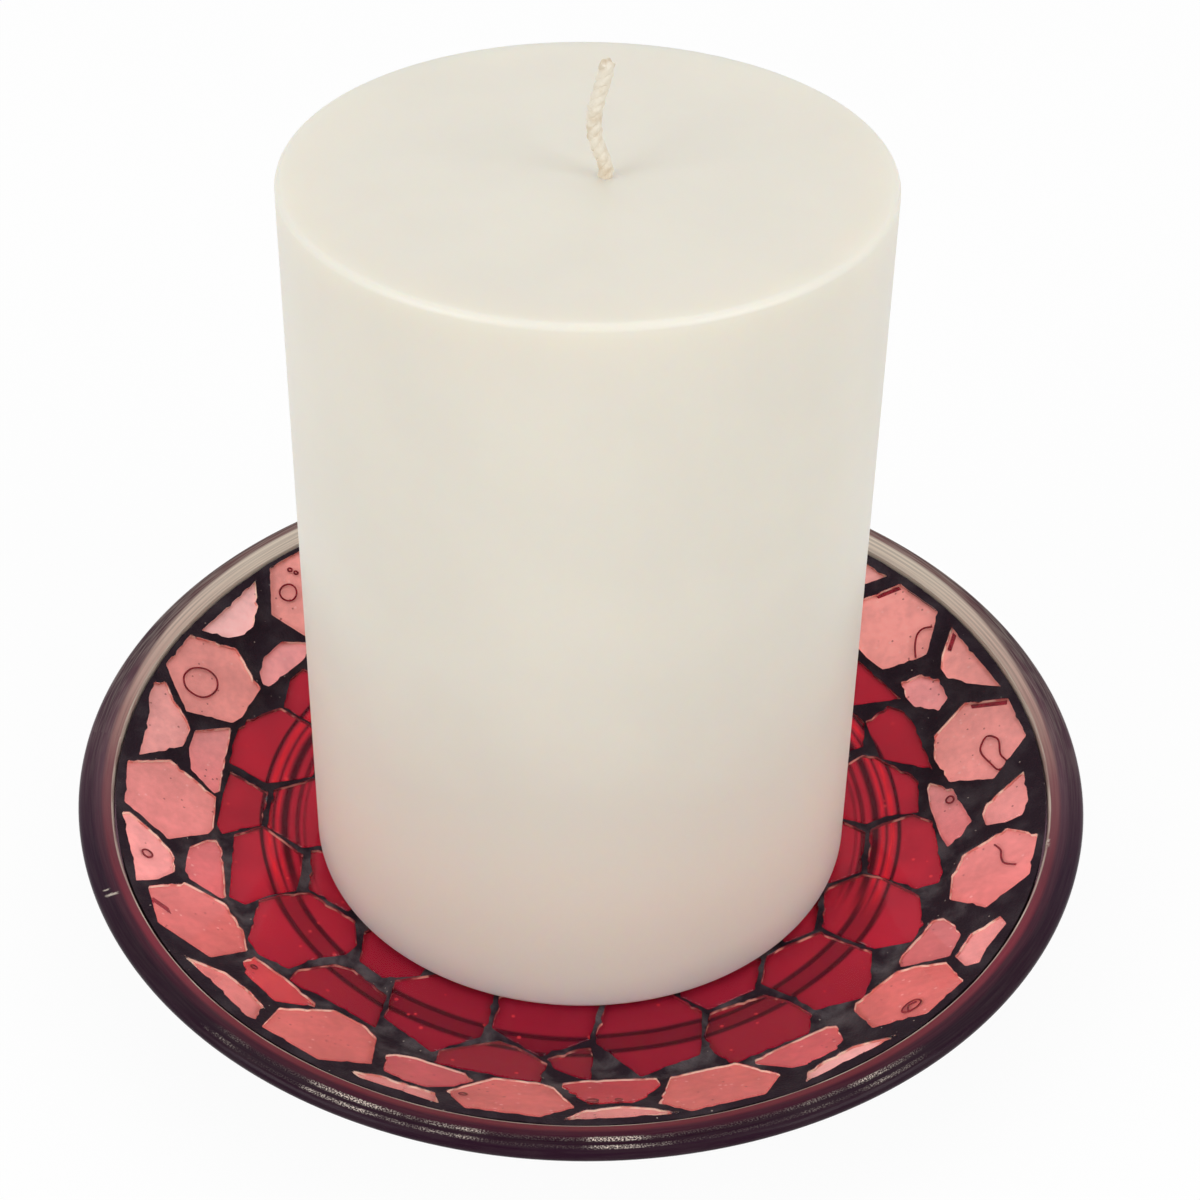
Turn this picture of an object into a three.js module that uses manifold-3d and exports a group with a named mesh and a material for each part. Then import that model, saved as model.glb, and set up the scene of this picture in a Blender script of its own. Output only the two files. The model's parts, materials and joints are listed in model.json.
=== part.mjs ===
// Mosaic glass candle holder: a pressed glass dish with a foot ring, lined with cut glass pieces
// in grout, and the pillar candle that stands on it and lifts off.
// Millimetres, +Z up. The origin is on the table, in the middle of the foot ring.
import * as THREE from 'three';
import { mergeVertices } from 'three/addons/utils/BufferGeometryUtils.js';
import Module from 'manifold-3d';

const wasm = await Module();
wasm.setup();

// Driving dimensions of the glass dish
const dishRadius = 70.9;
const rimWidth = 4.9;
const rimCrestInset = 2;
const rimCrestRise = 0.8;
const rimEdgeDrop = 0.2;
const rimEdgeRadius = 1.2;
const rimUndercut = 3;
const stepRound = 0.3;
const glassThickness = 2.1;
const footRadius = 46;
const footWidth = 2.6;
const footHeight = 2;
const footChamfer = 0.4;

// The bowl that the tile tops lie on: a flat floor, a round corner and a straight wall
const wallRise = 11.95;
const wallSlope = THREE.MathUtils.degToRad(31.8);
const cornerRadius = 25;

// Layers of the mosaic, measured square to the bowl
const tileThickness = 1.8;
const groutDrop = 0.35;
const sheetThickness = 0.3;
const bedGap = 0.3;
const jointClearance = 0.3;
const fieldClearance = 0.3;

// Candle, wick and the metal foot of the wick
const candleRadius = 38;
const candleHeight = 104.4;
const candleEdge = 1.2;
const candleFootEdge = 0.6;
const seatClearance = 0.1;
const wickRadius = 1.1;
const wickExposed = 15.2;
const wickStraight = 1.2;
const wickBow = 1.5;
const wickOffset = [2.2, -2.3];
const waxClearance = 0.3;
const sustainerRadius = 12;
const sustainerThickness = 0.4;
const collarRadius = 2.2;
const collarHeight = 7;

// Fineness of the round shapes
const roundSteps = 60;
const cornerSteps = 4;
const candleSteps = 60;
const boreSteps = 24;
const wickSides = 8;
const wickSteps = 48;

// Sizes that follow from the driving dimensions
const stepRadius = dishRadius - rimWidth;
const fieldRadius = stepRadius - fieldClearance;
const sheetTop = tileThickness + bedGap;
const sheetBottom = sheetTop + sheetThickness;
const glassTop = sheetBottom + bedGap;
const glassBottom = glassTop + glassThickness;
const floorLevel = footHeight + glassBottom;
const wallFoot = fieldRadius - wallRise / Math.tan(wallSlope);
const floorRadius = wallFoot - cornerRadius * Math.tan(wallSlope / 2);

const waxColour = 0xe4ddd1;
const wickColour = 0xd9d2c2;
const tinColour = 0xb9bcbf;
const glassColour = 0x8a7c80;
const groutColour = 0x3a3036;
const pinkColour = 0xdf8c88;
const paleColour = 0xe6a5a5;
const salmonColour = 0xcf6f6a;
const redColour = 0xa32a3c;

// The pieces are laid a little closer in front than behind: how many degrees each is drawn towards
// the front, most at the side given by the second angle, and how far the whole lay is turned
const layPull = 2.35;
const layPullSide = 12;
const layTurn = -0.2;

// Cut pieces, each a list of corners: the angle in degrees before that pull, 270 at the front, and
// the distance from the middle in hundredths of the mosaic's radius.
const hexagons = [
  [[133.2, 98.5], [139.5, 98.6], [144.2, 90.4], [142.2, 82.5], [135, 82], [131.6, 90.8]],
  [[156.7, 98.4], [163.1, 98.6], [168, 90.8], [165.3, 82], [163.5, 81], [156.3, 81.3], [153.3, 90]],
  [[181.8, 98.1], [189.1, 98], [193.4, 89.9], [190.1, 81.7], [188.8, 80.7], [181.8, 80.4], [178.2, 90]],
  [[204, 96.7], [210.8, 98.6], [216.9, 92.6], [215.8, 84], [211.4, 81.9], [205.6, 82.3], [201.9, 88.6]],
  [[231.7, 98.2], [239.8, 98.4], [244, 91.2], [240.5, 81.8], [237.3, 79.7], [232.2, 80.2], [228.9, 89.7]],
  [[257.9, 98.6], [266.1, 98.6], [269.7, 93.2], [267, 85], [264.6, 83.4], [259, 83.6], [254.6, 92.7]],
  [[282.9, 98.6], [291.4, 98.6], [295.1, 92.6], [292.3, 83], [288.5, 82.6], [283.2, 82.6], [280, 93.1]],
  [[314.1, 98.6], [320.9, 98.6], [324.4, 91.6], [323.2, 86.3], [321.6, 83.6], [313.2, 82.8], [311.8, 84.3],
    [309.6, 92]],
  [[341, 98.6], [348.2, 98.4], [351, 92.2], [347.5, 84.2], [343.5, 83.1], [338.4, 84.3], [336, 92.3]],
  [[366.5, 98.2], [373.9, 97.8], [377.4, 90.1], [374.8, 82.3], [370.5, 80.5], [364.6, 81.9], [361.8, 90.2]],
  [[393.3, 97.8], [400.8, 97.5], [404, 90.6], [400.6, 82.4], [396, 81.6], [392.3, 82], [389.8, 87.8],
    [389.3, 90.3]],
  [[58.3, 98.2], [66, 98.5], [69.8, 91], [66.8, 82.4], [58.2, 82], [54.8, 90.2]],
  [[84.2, 98.5], [91.8, 98.2], [95.5, 90.4], [92.4, 82], [84.6, 82.5], [80.5, 91]],
  [[110, 98.2], [117.5, 98.5], [121.2, 90.2], [118.2, 82.6], [113.4, 81.4], [109.2, 82], [106.2, 90.6]],
];

const rimShards = [
  [[142.7, 98.2], [147, 97.3], [154.4, 97.3], [152.7, 92.9], [150.5, 91.2], [148.2, 91.2], [145.4, 93.6]],
  [[165.9, 97], [166.9, 98.6], [169.9, 98.1], [171.8, 96.8], [179.3, 96.1], [176.9, 91.9], [174.6, 88.9],
    [171.2, 88.8], [170.2, 89.8]],
  [[190.6, 97], [191, 98.4], [200.7, 98], [202.8, 98.5], [202, 94.4], [200, 90.4], [197.4, 89.7],
    [195.6, 90.4], [193.4, 92.6]],
  [[216.9, 98], [222.5, 97.3], [229.2, 98.4], [229.9, 97.6], [228.2, 93.3], [224.2, 92.4], [220.7, 93]],
  [[243.9, 96.9], [245.1, 98], [254.5, 98], [253.4, 94.9], [246.6, 95]],
  [[269, 98.4], [275, 98.2], [281.4, 98.4], [278.8, 95.5], [275.6, 93.7], [271.2, 94.8]],
  [[296.7, 98.5], [309, 98.5], [306.8, 96.3], [304.6, 94.7], [300.4, 95], [297.9, 96]],
  [[324.2, 96.3], [324.9, 98.2], [327.2, 97.5], [332.3, 98.1], [333.6, 96.2], [330.4, 92.8], [325.8, 92.8]],
  [[353, 95.1], [355.2, 96.2], [360.5, 95.9], [359, 92.2], [357, 88.4], [355.2, 87.6], [353, 88.3],
    [352.5, 92]],
  [[376.8, 97.8], [389.6, 97.4], [387, 92.5], [385.3, 90.7], [383.1, 90.5], [380.4, 92.9]],
];

const innerShards = [
  [[142.9, 81.2], [146.6, 84.6], [151, 84.6], [153.6, 83.2], [154.8, 81.4], [154.4, 80.2], [146.4, 79.4],
    [143.8, 79.8]],
  [[166.6, 81.7], [170.9, 87.4], [174.7, 87.2], [178.2, 85.7], [180.7, 80.6], [180, 79.8], [174, 80.2],
    [168.4, 81.1]],
  [[191, 80], [191.6, 81.7], [194.4, 85.7], [199.4, 87.7], [200.9, 87.3], [203.9, 82.2], [203.5, 81.3],
    [198.5, 80], [193, 79.2]],
  [[217.5, 83.5], [218.4, 86.5], [221, 88.6], [227.2, 88.9], [229.9, 82.3], [229.2, 81.5], [223, 81.6],
    [218.9, 82.8]],
  [[244.3, 85.8], [246.3, 92.1], [249.3, 93.3], [252, 93.3], [254.6, 90], [256.3, 85.5], [254.8, 83.6],
    [247.3, 83], [244.9, 84.3]],
  [[268.2, 83.3], [269.4, 86.4], [271.8, 91.9], [276.8, 91.9], [278.6, 89.8], [281.2, 84.4], [281.1, 81.4],
    [271, 81], [268.4, 81.9]],
  [[294.7, 85.4], [297.3, 92.2], [298.8, 93], [303.3, 92.5], [305.4, 90.3], [307.6, 85], [307, 83.7],
    [297.3, 83.5], [295.1, 84]],
  [[323.3, 83.2], [324.9, 88.2], [325.9, 91.2], [330.2, 90.3], [332.2, 88], [334.2, 84.5], [333.9, 82.8],
    [325.5, 81.6], [324.2, 82.1]],
  [[350.9, 80.6], [352.2, 83], [354.6, 85], [362.6, 81.9], [366, 77.9], [365.2, 77.4], [360.6, 77.4],
    [353.6, 79.2]],
  [[379.3, 85.3], [380.3, 87.8], [384, 88.6], [386.8, 86.4], [388, 82.8], [385, 81.7], [382.5, 82]],
];

const ringTiles = [
  [[157.4, 74.8], [163.4, 79.3], [165.2, 79.7], [169.5, 79.3], [172.5, 78.8], [174.4, 70.8], [169.8, 62.4],
    [164, 61.6], [157.8, 64.4]],
  [[186.4, 70], [189.2, 75.5], [194, 76.4], [203, 79.4], [204.6, 77.4], [203, 72.5], [202.4, 66.8],
    [198, 64.4], [192.6, 62.8], [189.2, 66.4]],
  [[205.2, 74.5], [213, 80.8], [216, 81], [220.4, 78.2], [220.4, 70], [221.4, 66.3], [220.3, 62.8],
    [214.2, 58.9], [204.6, 64.2], [204.3, 70]],
  [[221.8, 76.8], [223, 79.5], [224.8, 79.3], [227.4, 77.6], [237.4, 76.4], [233.9, 68], [225.4, 67.3],
    [222.9, 69.6]],
  [[233.8, 63.6], [238, 73.2], [247.9, 76.6], [253, 69.6], [253, 65], [251.2, 56.2], [239.6, 56.2]],
  [[250.3, 80.9], [264.4, 81.2], [264.8, 74.5], [259.4, 69.8], [256.8, 68.9], [249.7, 77]],
  [[274.2, 67.8], [277.9, 74], [279.8, 77.6], [288.7, 74.8], [289.8, 72.6], [293.2, 64.2], [290, 56.8],
    [284, 55.6], [276.8, 56.8], [274.3, 65]],
  [[292.9, 80.9], [304.6, 81.1], [307.8, 77.3], [307.9, 71.5], [306.4, 66.4], [301, 64.9], [295.8, 64.4],
    [292.1, 71], [291.8, 75.5]],
  [[309.4, 76.8], [315.4, 80.9], [318.9, 79], [324.4, 74.6], [324.4, 69], [325.4, 62.3], [318.8, 58.8],
    [314.4, 58.2], [308.2, 63.6], [309.3, 70.5]],
  [[326.8, 74.6], [330, 79.9], [333.3, 80], [339.2, 76.7], [342.9, 67.8], [343.4, 64.5], [338.9, 58.5],
    [336, 58.4], [328.4, 61.7], [327.4, 66.5]],
  [[342.4, 76.3], [343.6, 79.4], [346.3, 79.8], [357, 77.2], [359.3, 73.8], [358.4, 67.7], [357.2, 64.7],
    [346.4, 65.2], [344.7, 69.8]],
  [[361.3, 73.7], [367.7, 74.9], [369.6, 74], [375.8, 68.5], [376.9, 66.5], [375.4, 62], [371, 57.8],
    [361.8, 58.2], [359.6, 63.2], [361.1, 67]],
];

// Smaller red pieces beside the ring tiles and inside them
const fillerTiles = [
  [[147.4, 77.1], [150.3, 77.2], [155.8, 74.4], [156, 66], [150.4, 64.4], [146.6, 70]],
  [[175.2, 77.9], [180, 78.2], [187, 78.9], [188.3, 78.2], [184.8, 70.7], [179.5, 69.9], [176.8, 70]],
  [[265.9, 72.4], [267, 75], [271.4, 78.4], [272, 70], [271.8, 68.3], [270.6, 68.5]],
  [[370.3, 78.4], [379.5, 78.9], [383, 78.5], [385.1, 77], [384.9, 72.4], [376.2, 71]],
  [[387, 79.6], [397.2, 79], [399.6, 76.4], [395.8, 72.4], [391, 72.6]],
  [[381.2, 67.6], [386, 70.6], [390.6, 69.8], [393.2, 64.5], [388, 61.4], [381.2, 64]],
  [[176, 68.2], [184.8, 68.6], [190.6, 61.6], [190.4, 56.5], [181, 54], [171.8, 60.8]],
  [[193, 59.2], [202.5, 62], [210.6, 57.8], [209.6, 53], [194, 52]],
  [[219.8, 58], [224.6, 63], [230.6, 62.9], [235.2, 58.6], [233.6, 52.6], [221.4, 52.6]],
  [[255.2, 65.3], [258.4, 67.1], [264, 70.7], [271.6, 66], [274, 57], [272.2, 52.4], [257, 52.6],
    [254.2, 57.6]],
  [[296.2, 61.8], [306.2, 61.9], [311.6, 57.4], [309.6, 52.4], [295.6, 52.2], [293.2, 57.6]],
  [[320.6, 57.6], [326.6, 60], [334.4, 57.4], [332, 52.8], [322.5, 52.8]],
  [[346.2, 62.6], [356.4, 62.4], [359.2, 57.6], [356.6, 52.6], [343.8, 52.8], [341.4, 57.5]],
];

// The stretch behind the candle repeats these pieces, in degrees from their own start
const rearGaps = [49.4, 75.2, 100.9, 126.4];
const rearRimShard = [[-5.7, 97.4], [5.9, 98], [2.4, 91.4], [-2.2, 90.8]];
const rearInnerShard = [[-2.4, 88], [2.2, 88.4], [5.8, 82], [-5.6, 81.4]];
const rearRingStart = 42;
const rearRingSpacing = 17.4;
const rearRingPieces = [
  [[0.3, 77.4], [6.5, 79.6], [13.8, 78.8], [16, 75.2], [15.9, 66.8], [10.2, 63.2], [1.8, 64.6], [0.2, 70.5]],
  [[0.3, 78.8], [9.6, 79.2], [15.9, 77], [16.1, 67.4], [12.8, 63], [5.2, 62.8], [0.6, 66.6]],
];
const rearRingCount = 6;
const innerRingStart = 14;
const innerRingSpacing = 22;
const innerRingCount = 7;
const innerRingPiece = [[0.6, 52.2], [0.2, 57.6], [6, 59.8], [14, 59.6], [20.4, 57.4], [20, 51.8]];

// Rings of pieces under the candle: how many, their inner and outer edge and their first angle
const floorRings = [
  { count: 13, inner: 31, outer: 50.4, start: 5 },
  { count: 7, inner: 12.4, outer: 29.4, start: 20 },
];
const floorJoint = 1.1;
const floorSkew = 0.16;
const middlePieceSides = 6;
const middlePieceShare = 10.6;

// Height of the bowl at a radius, some way below the tile tops
function bowlHeight(depth, radius) {
  const arcRadius = cornerRadius + depth;
  const arcEnd = floorRadius + arcRadius * Math.sin(wallSlope);
  if (radius <= floorRadius) {
    return floorLevel - depth;
  }
  if (radius < arcEnd) {
    const across = radius - floorRadius;
    return floorLevel + cornerRadius - Math.sqrt(arcRadius * arcRadius - across * across);
  }
  return floorLevel + (radius - wallFoot) * Math.tan(wallSlope) - depth / Math.cos(wallSlope);
}

// The bowl's line from one radius to a larger one, some way below the tile tops
function bowlLine(depth, fromRadius, toRadius) {
  const radii = [fromRadius];
  for (let step = 0; step <= cornerSteps; step += 1) {
    const lean = wallSlope * step / cornerSteps;
    radii.push(floorRadius + (cornerRadius + depth) * Math.sin(lean));
  }
  radii.push(toRadius);
  const inside = radii.filter((radius) => radius >= fromRadius && radius <= toRadius);
  const unique = inside.filter((radius, index) => index === 0 || radius > inside[index - 1]);
  return unique.map((radius) => [radius, bowlHeight(depth, radius)]);
}

// One closed shell with shared corners and no empty triangles
function tidyGeometry(geometry) {
  const bare = new THREE.BufferGeometry();
  bare.setAttribute('position', geometry.getAttribute('position').clone());
  if (geometry.index) {
    bare.setIndex(geometry.index.clone());
  }
  const merged = mergeVertices(bare, 1e-4);
  const kept = [];
  const index = merged.index.array;
  for (let corner = 0; corner < index.length; corner += 3) {
    const [a, b, c] = [index[corner], index[corner + 1], index[corner + 2]];
    if (a !== b && b !== c && a !== c) {
      kept.push(a, b, c);
    }
  }
  merged.setIndex(kept);
  return merged;
}

function toSolid(geometry) {
  const merged = tidyGeometry(geometry);
  return new wasm.Manifold(new wasm.Mesh({
    numProp: 3,
    vertProperties: new Float32Array(merged.getAttribute('position').array),
    triVerts: new Uint32Array(merged.index.array),
  }));
}

function fromSolid(solid) {
  const mesh = solid.getMesh();
  const geometry = new THREE.BufferGeometry();
  geometry.setAttribute('position', new THREE.BufferAttribute(new Float32Array(mesh.vertProperties), 3));
  geometry.setIndex(Array.from(mesh.triVerts));
  return geometry;
}

// Turns a closed line of [radius, height] pairs, anticlockwise in that plane, about the Z axis
function turned(line, steps) {
  const profile = line.map(([radius, height]) => new THREE.Vector2(radius, height));
  const onAxis = line[0][0] === 0 && line[line.length - 1][0] === 0;
  if (!onAxis) {
    profile.push(profile[0].clone());
  }
  const geometry = new THREE.LatheGeometry(profile, steps);
  geometry.rotateX(Math.PI / 2);
  return tidyGeometry(geometry);
}

// The layer of the mosaic between two depths below the tile tops
function bowlShell(upperDepth, lowerDepth, outerRadius) {
  const under = bowlLine(lowerDepth, 0, outerRadius);
  const over = bowlLine(upperDepth, 0, outerRadius);
  return turned([...under, ...over.reverse()], roundSteps);
}

// Where a listed angle comes to lie
function laidAngle(degrees) {
  const pull = layPull * Math.cos(THREE.MathUtils.degToRad(degrees - layPullSide));
  return THREE.MathUtils.degToRad(degrees + layTurn - pull);
}

// A flat piece laid on the bowl: the plane of its top, its outline in that plane and its lift
function layTile(corners) {
  const radii = corners.map((corner) => corner[1] / 100 * fieldRadius);
  const inner = Math.min(...radii);
  const outer = Math.max(...radii);
  const slope = Math.atan2(bowlHeight(0, outer) - bowlHeight(0, inner), outer - inner);
  const points = corners.map(([degrees], index) => {
    const angle = laidAngle(degrees);
    const radius = radii[index];
    return new THREE.Vector3(radius * Math.cos(angle), radius * Math.sin(angle), bowlHeight(0, radius));
  });
  const middle = new THREE.Vector3();
  points.forEach((point) => middle.addScaledVector(point, 1 / points.length));
  const angle = Math.atan2(middle.y, middle.x);
  const outward = new THREE.Vector3(Math.cos(angle), Math.sin(angle), Math.tan(slope)).normalize();
  const sideways = new THREE.Vector3(-Math.sin(angle), Math.cos(angle), 0);
  const up = new THREE.Vector3().crossVectors(outward, sideways);
  const outline = points.map((point) => {
    const arm = point.clone().sub(middle);
    return new THREE.Vector2(arm.dot(outward), arm.dot(sideways));
  });
  if (THREE.ShapeUtils.isClockWise(outline)) {
    outline.reverse();
  }
  const seatHeight = (corner) => {
    const foot = middle.clone().addScaledVector(outward, corner.x).addScaledVector(sideways, corner.y);
    foot.addScaledVector(up, -tileThickness);
    const needed = bowlHeight(sheetTop, Math.hypot(foot.x, foot.y)) + bedGap / up.z;
    return (needed - foot.z) / up.z;
  };
  middle.addScaledVector(up, Math.max(...outline.map(seatHeight)));
  const basis = new THREE.Matrix4().makeBasis(outward, sideways, up).setPosition(middle);
  return { outline, basis, middle, up };
}

// Moves every side of an outline outwards by the same distance
function grownOutline(outline, distance) {
  return outline.map((corner, index) => {
    const before = outline[(index + outline.length - 1) % outline.length];
    const after = outline[(index + 1) % outline.length];
    const first = corner.clone().sub(before).normalize();
    const second = after.clone().sub(corner).normalize();
    const out = new THREE.Vector2(first.y + second.y, -first.x - second.x);
    const spread = 1 + first.dot(second);
    return corner.clone().addScaledVector(out, distance / spread);
  });
}

// A prism on a tile's plane, from one height to another over that plane
function tilePrism(outline, low, high) {
  const geometry = new THREE.ExtrudeGeometry(new THREE.Shape(outline), {
    depth: high - low,
    bevelEnabled: false,
  });
  geometry.translate(0, 0, low);
  return tidyGeometry(geometry);
}

function placedSolid(tile, outline, low, high) {
  const geometry = tilePrism(outline, low, high);
  geometry.applyMatrix4(tile.basis);
  return toSolid(geometry);
}

function shiftedPiece(piece, start, mirrored) {
  const sign = mirrored ? -1 : 1;
  return piece.map(([degrees, share]) => [start + sign * degrees, share]);
}

function rearShards(piece) {
  return rearGaps.map((gap, index) => shiftedPiece(piece, gap, index % 2 === 1));
}

function rearRing() {
  const pieces = [];
  for (let place = 0; place < rearRingCount; place += 1) {
    const piece = rearRingPieces[place % rearRingPieces.length];
    pieces.push(shiftedPiece(piece, rearRingStart + place * rearRingSpacing, false));
  }
  return pieces;
}

function innerRing() {
  const pieces = [];
  for (let place = 0; place < innerRingCount; place += 1) {
    pieces.push(shiftedPiece(innerRingPiece, innerRingStart + place * innerRingSpacing, false));
  }
  return pieces;
}

// A ring of four-sided pieces whose joints lean one way and the other in turn
function floorRing({ count, inner, outer, start }) {
  const pieces = [];
  const pitch = 360 / count;
  const innerJoint = THREE.MathUtils.radToDeg(floorJoint / (inner / 100 * fieldRadius)) / 2;
  const outerJoint = THREE.MathUtils.radToDeg(floorJoint / (outer / 100 * fieldRadius)) / 2;
  const lean = (place) => floorSkew * pitch * Math.sin(2.4 * (place % count));
  for (let place = 0; place < count; place += 1) {
    const from = start + place * pitch;
    const to = from + pitch;
    pieces.push([
      [from - lean(place) + innerJoint, inner],
      [from + lean(place) + outerJoint, outer - 1],
      [(from + to) / 2 + lean(place), outer],
      [to + lean(place + 1) - outerJoint, outer - 1.4],
      [to - lean(place + 1) - innerJoint, inner],
    ]);
  }
  return pieces;
}

function middlePiece() {
  const piece = [];
  for (let side = 0; side < middlePieceSides; side += 1) {
    piece.push([360 * side / middlePieceSides, middlePieceShare]);
  }
  return piece;
}

// Pieces that are nodes of their own, and the small red pieces that share one bedding sheet
const pinkTiles = hexagons.map(layTile);
const rimPieces = [...rimShards, ...rearShards(rearRimShard)].map(layTile);
const innerPieces = [...innerShards, ...rearShards(rearInnerShard)].map(layTile);
const redTiles = ringTiles.map(layTile);
const sheetTiles = [
  ...fillerTiles,
  ...rearRing(),
  ...innerRing(),
  ...floorRings.flatMap(floorRing),
  middlePiece(),
].map(layTile);
const allTiles = [...pinkTiles, ...rimPieces, ...innerPieces, ...redTiles, ...sheetTiles];

// The glass dish, with a step that the mosaic ends against and a foot ring under it
function dishLine() {
  const rimTop = bowlHeight(0, fieldRadius);
  const crestRadius = dishRadius - rimCrestInset;
  const edgeLevel = rimTop - rimEdgeDrop;
  const footInner = footRadius - footWidth;
  const underFloor = floorLevel - glassBottom;
  const rimRoot = dishRadius - rimUndercut;
  return [
    [0, underFloor],
    [footInner, underFloor],
    [footInner, footChamfer],
    [footInner + footChamfer, 0],
    [footRadius - footChamfer, 0],
    [footRadius, footChamfer],
    ...bowlLine(glassBottom, footRadius, rimRoot),
    [dishRadius - rimUndercut / 2, edgeLevel - 1.5 * rimEdgeRadius],
    [dishRadius - rimEdgeRadius * 0.4, edgeLevel - rimEdgeRadius / 2],
    [dishRadius, edgeLevel],
    [dishRadius - rimEdgeRadius / 5, edgeLevel + rimEdgeRadius * 0.55],
    [dishRadius - rimEdgeRadius * 0.8, edgeLevel + rimEdgeRadius],
    [crestRadius, rimTop + rimCrestRise],
    [(crestRadius + stepRadius) / 2, rimTop + 0.7 * rimCrestRise],
    [stepRadius + stepRound, rimTop + stepRound / 3],
    [stepRadius, rimTop - stepRound],
    ...bowlLine(glassTop, 0, stepRadius).reverse(),
  ];
}

function groutSolid() {
  let grout = toSolid(bowlShell(groutDrop, tileThickness, fieldRadius));
  const reach = 1.5;
  allTiles.forEach((tile) => {
    const pocket = grownOutline(tile.outline, jointClearance);
    grout = grout.subtract(placedSolid(tile, pocket, -tileThickness - reach, reach));
  });
  return grout;
}

function sheetSolid() {
  let sheet = toSolid(bowlShell(sheetTop, sheetBottom, fieldRadius));
  const rootDepth = (sheetTop + sheetBottom) / 2;
  const below = bowlLine(rootDepth, 0, dishRadius);
  const bottom = floorLevel - 2 * glassBottom;
  const ground = toSolid(turned([[0, bottom], [dishRadius, bottom], ...below.reverse()], roundSteps));
  sheetTiles.forEach((tile) => {
    const piece = placedSolid(tile, tile.outline, -glassBottom, 0);
    sheet = sheet.add(piece.subtract(ground));
  });
  return sheet;
}

// The highest point of the pieces under the candle's foot
function candleSeat() {
  const above = 2 * floorLevel;
  const line = [[0, 0], [candleRadius, 0], [candleRadius, above], [0, above]];
  const column = toSolid(turned(line, candleSteps));
  const covered = allTiles
    .map((tile) => placedSolid(tile, tile.outline, -tileThickness, 0).intersect(column))
    .filter((solid) => !solid.isEmpty());
  return Math.max(...covered.map((solid) => solid.boundingBox().max[2])) + seatClearance;
}

const candleBase = candleSeat();
const candleTop = candleBase + candleHeight;
const boreRadius = wickRadius + waxClearance;
const pocketRadius = sustainerRadius + waxClearance;
const pocketTop = candleBase + sustainerThickness + 2 * waxClearance;
const collarPocketRadius = collarRadius + waxClearance;
const sustainerBase = candleBase + waxClearance;
const collarTop = sustainerBase + collarHeight;

function candleLine() {
  return [
    [0, candleBase],
    [candleRadius - candleFootEdge, candleBase],
    [candleRadius, candleBase + candleFootEdge],
    [candleRadius, candleTop - candleEdge],
    [candleRadius - candleEdge * 0.3, candleTop - candleEdge * 0.3],
    [candleRadius - candleEdge, candleTop],
    [0, candleTop],
  ];
}

// The room in the wax for the wick and its metal foot
function boreLine() {
  return [
    [0, candleBase - pocketRadius],
    [pocketRadius, candleBase - pocketRadius],
    [pocketRadius, pocketTop],
    [collarPocketRadius, pocketTop],
    [collarPocketRadius, collarTop + waxClearance],
    [boreRadius, collarTop + waxClearance],
    [boreRadius, candleTop + boreRadius],
    [0, candleTop + boreRadius],
  ];
}

function waxSolid() {
  const bore = toSolid(turned(boreLine(), boreSteps)).translate([...wickOffset, 0]);
  return toSolid(turned(candleLine(), candleSteps)).subtract(bore);
}

function sustainerLine() {
  return [
    [boreRadius, sustainerBase],
    [sustainerRadius, sustainerBase],
    [sustainerRadius, sustainerBase + sustainerThickness],
    [collarRadius, sustainerBase + sustainerThickness],
    [collarRadius, collarTop],
    [boreRadius, collarTop],
  ];
}

// The wick stands straight in the wax and a little over it, and bows to the left from there
class WickLine extends THREE.Curve {
  getPoint(share, target = new THREE.Vector3()) {
    const bottom = sustainerBase + waxClearance;
    const height = bottom + share * (candleTop + wickExposed - bottom);
    const bowStart = candleTop + wickStraight;
    const over = Math.max(0, (height - bowStart) / (wickExposed - wickStraight));
    const bow = Math.max(0, Math.sin(Math.PI * over ** 0.8)) ** 1.5;
    return target.set(wickOffset[0] - wickBow * bow, wickOffset[1], height);
  }
}

function wickGeometry() {
  const section = new THREE.Shape();
  for (let side = 0; side <= wickSides; side += 1) {
    const angle = 2 * Math.PI * side / wickSides;
    const [x, y] = [wickRadius * Math.cos(angle), wickRadius * Math.sin(angle)];
    if (side === 0) {
      section.moveTo(x, y);
    } else {
      section.lineTo(x, y);
    }
  }
  const geometry = new THREE.ExtrudeGeometry(section, { steps: wickSteps, extrudePath: new WickLine() });
  return tidyGeometry(geometry);
}

const part = new THREE.Group();

function addMesh(parent, name, geometry, colour, roughness, metalness = 0) {
  const material = new THREE.MeshStandardMaterial({ color: colour, roughness, metalness });
  const mesh = new THREE.Mesh(geometry, material);
  mesh.name = name;
  parent.add(mesh);
  return mesh;
}

function addTiles(parent, name, tiles, colourOf) {
  tiles.forEach((tile, index) => {
    const label = `${name}_${String(index + 1).padStart(2, '0')}`;
    const geometry = tilePrism(tile.outline, -tileThickness, 0);
    const mesh = addMesh(parent, label, geometry, colourOf(index), 0.15);
    mesh.quaternion.setFromRotationMatrix(tile.basis);
    mesh.position.copy(tile.middle);
  });
}

const dish = new THREE.Group();
addMesh(dish, 'glass_dish', turned(dishLine(), roundSteps), glassColour, 0.08);
addMesh(dish, 'red_piece_sheet', fromSolid(sheetSolid()), redColour, 0.2);
addMesh(dish, 'grout', fromSolid(groutSolid()), groutColour, 0.95);
addTiles(dish, 'pink_tile', pinkTiles, () => pinkColour);
addTiles(dish, 'rim_shard', rimPieces, (index) => (index % 3 === 0 ? paleColour : pinkColour));
addTiles(dish, 'inner_shard', innerPieces, (index) => (index % 2 === 0 ? paleColour : salmonColour));
addTiles(dish, 'red_tile', redTiles, () => redColour);
part.add(dish);

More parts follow.
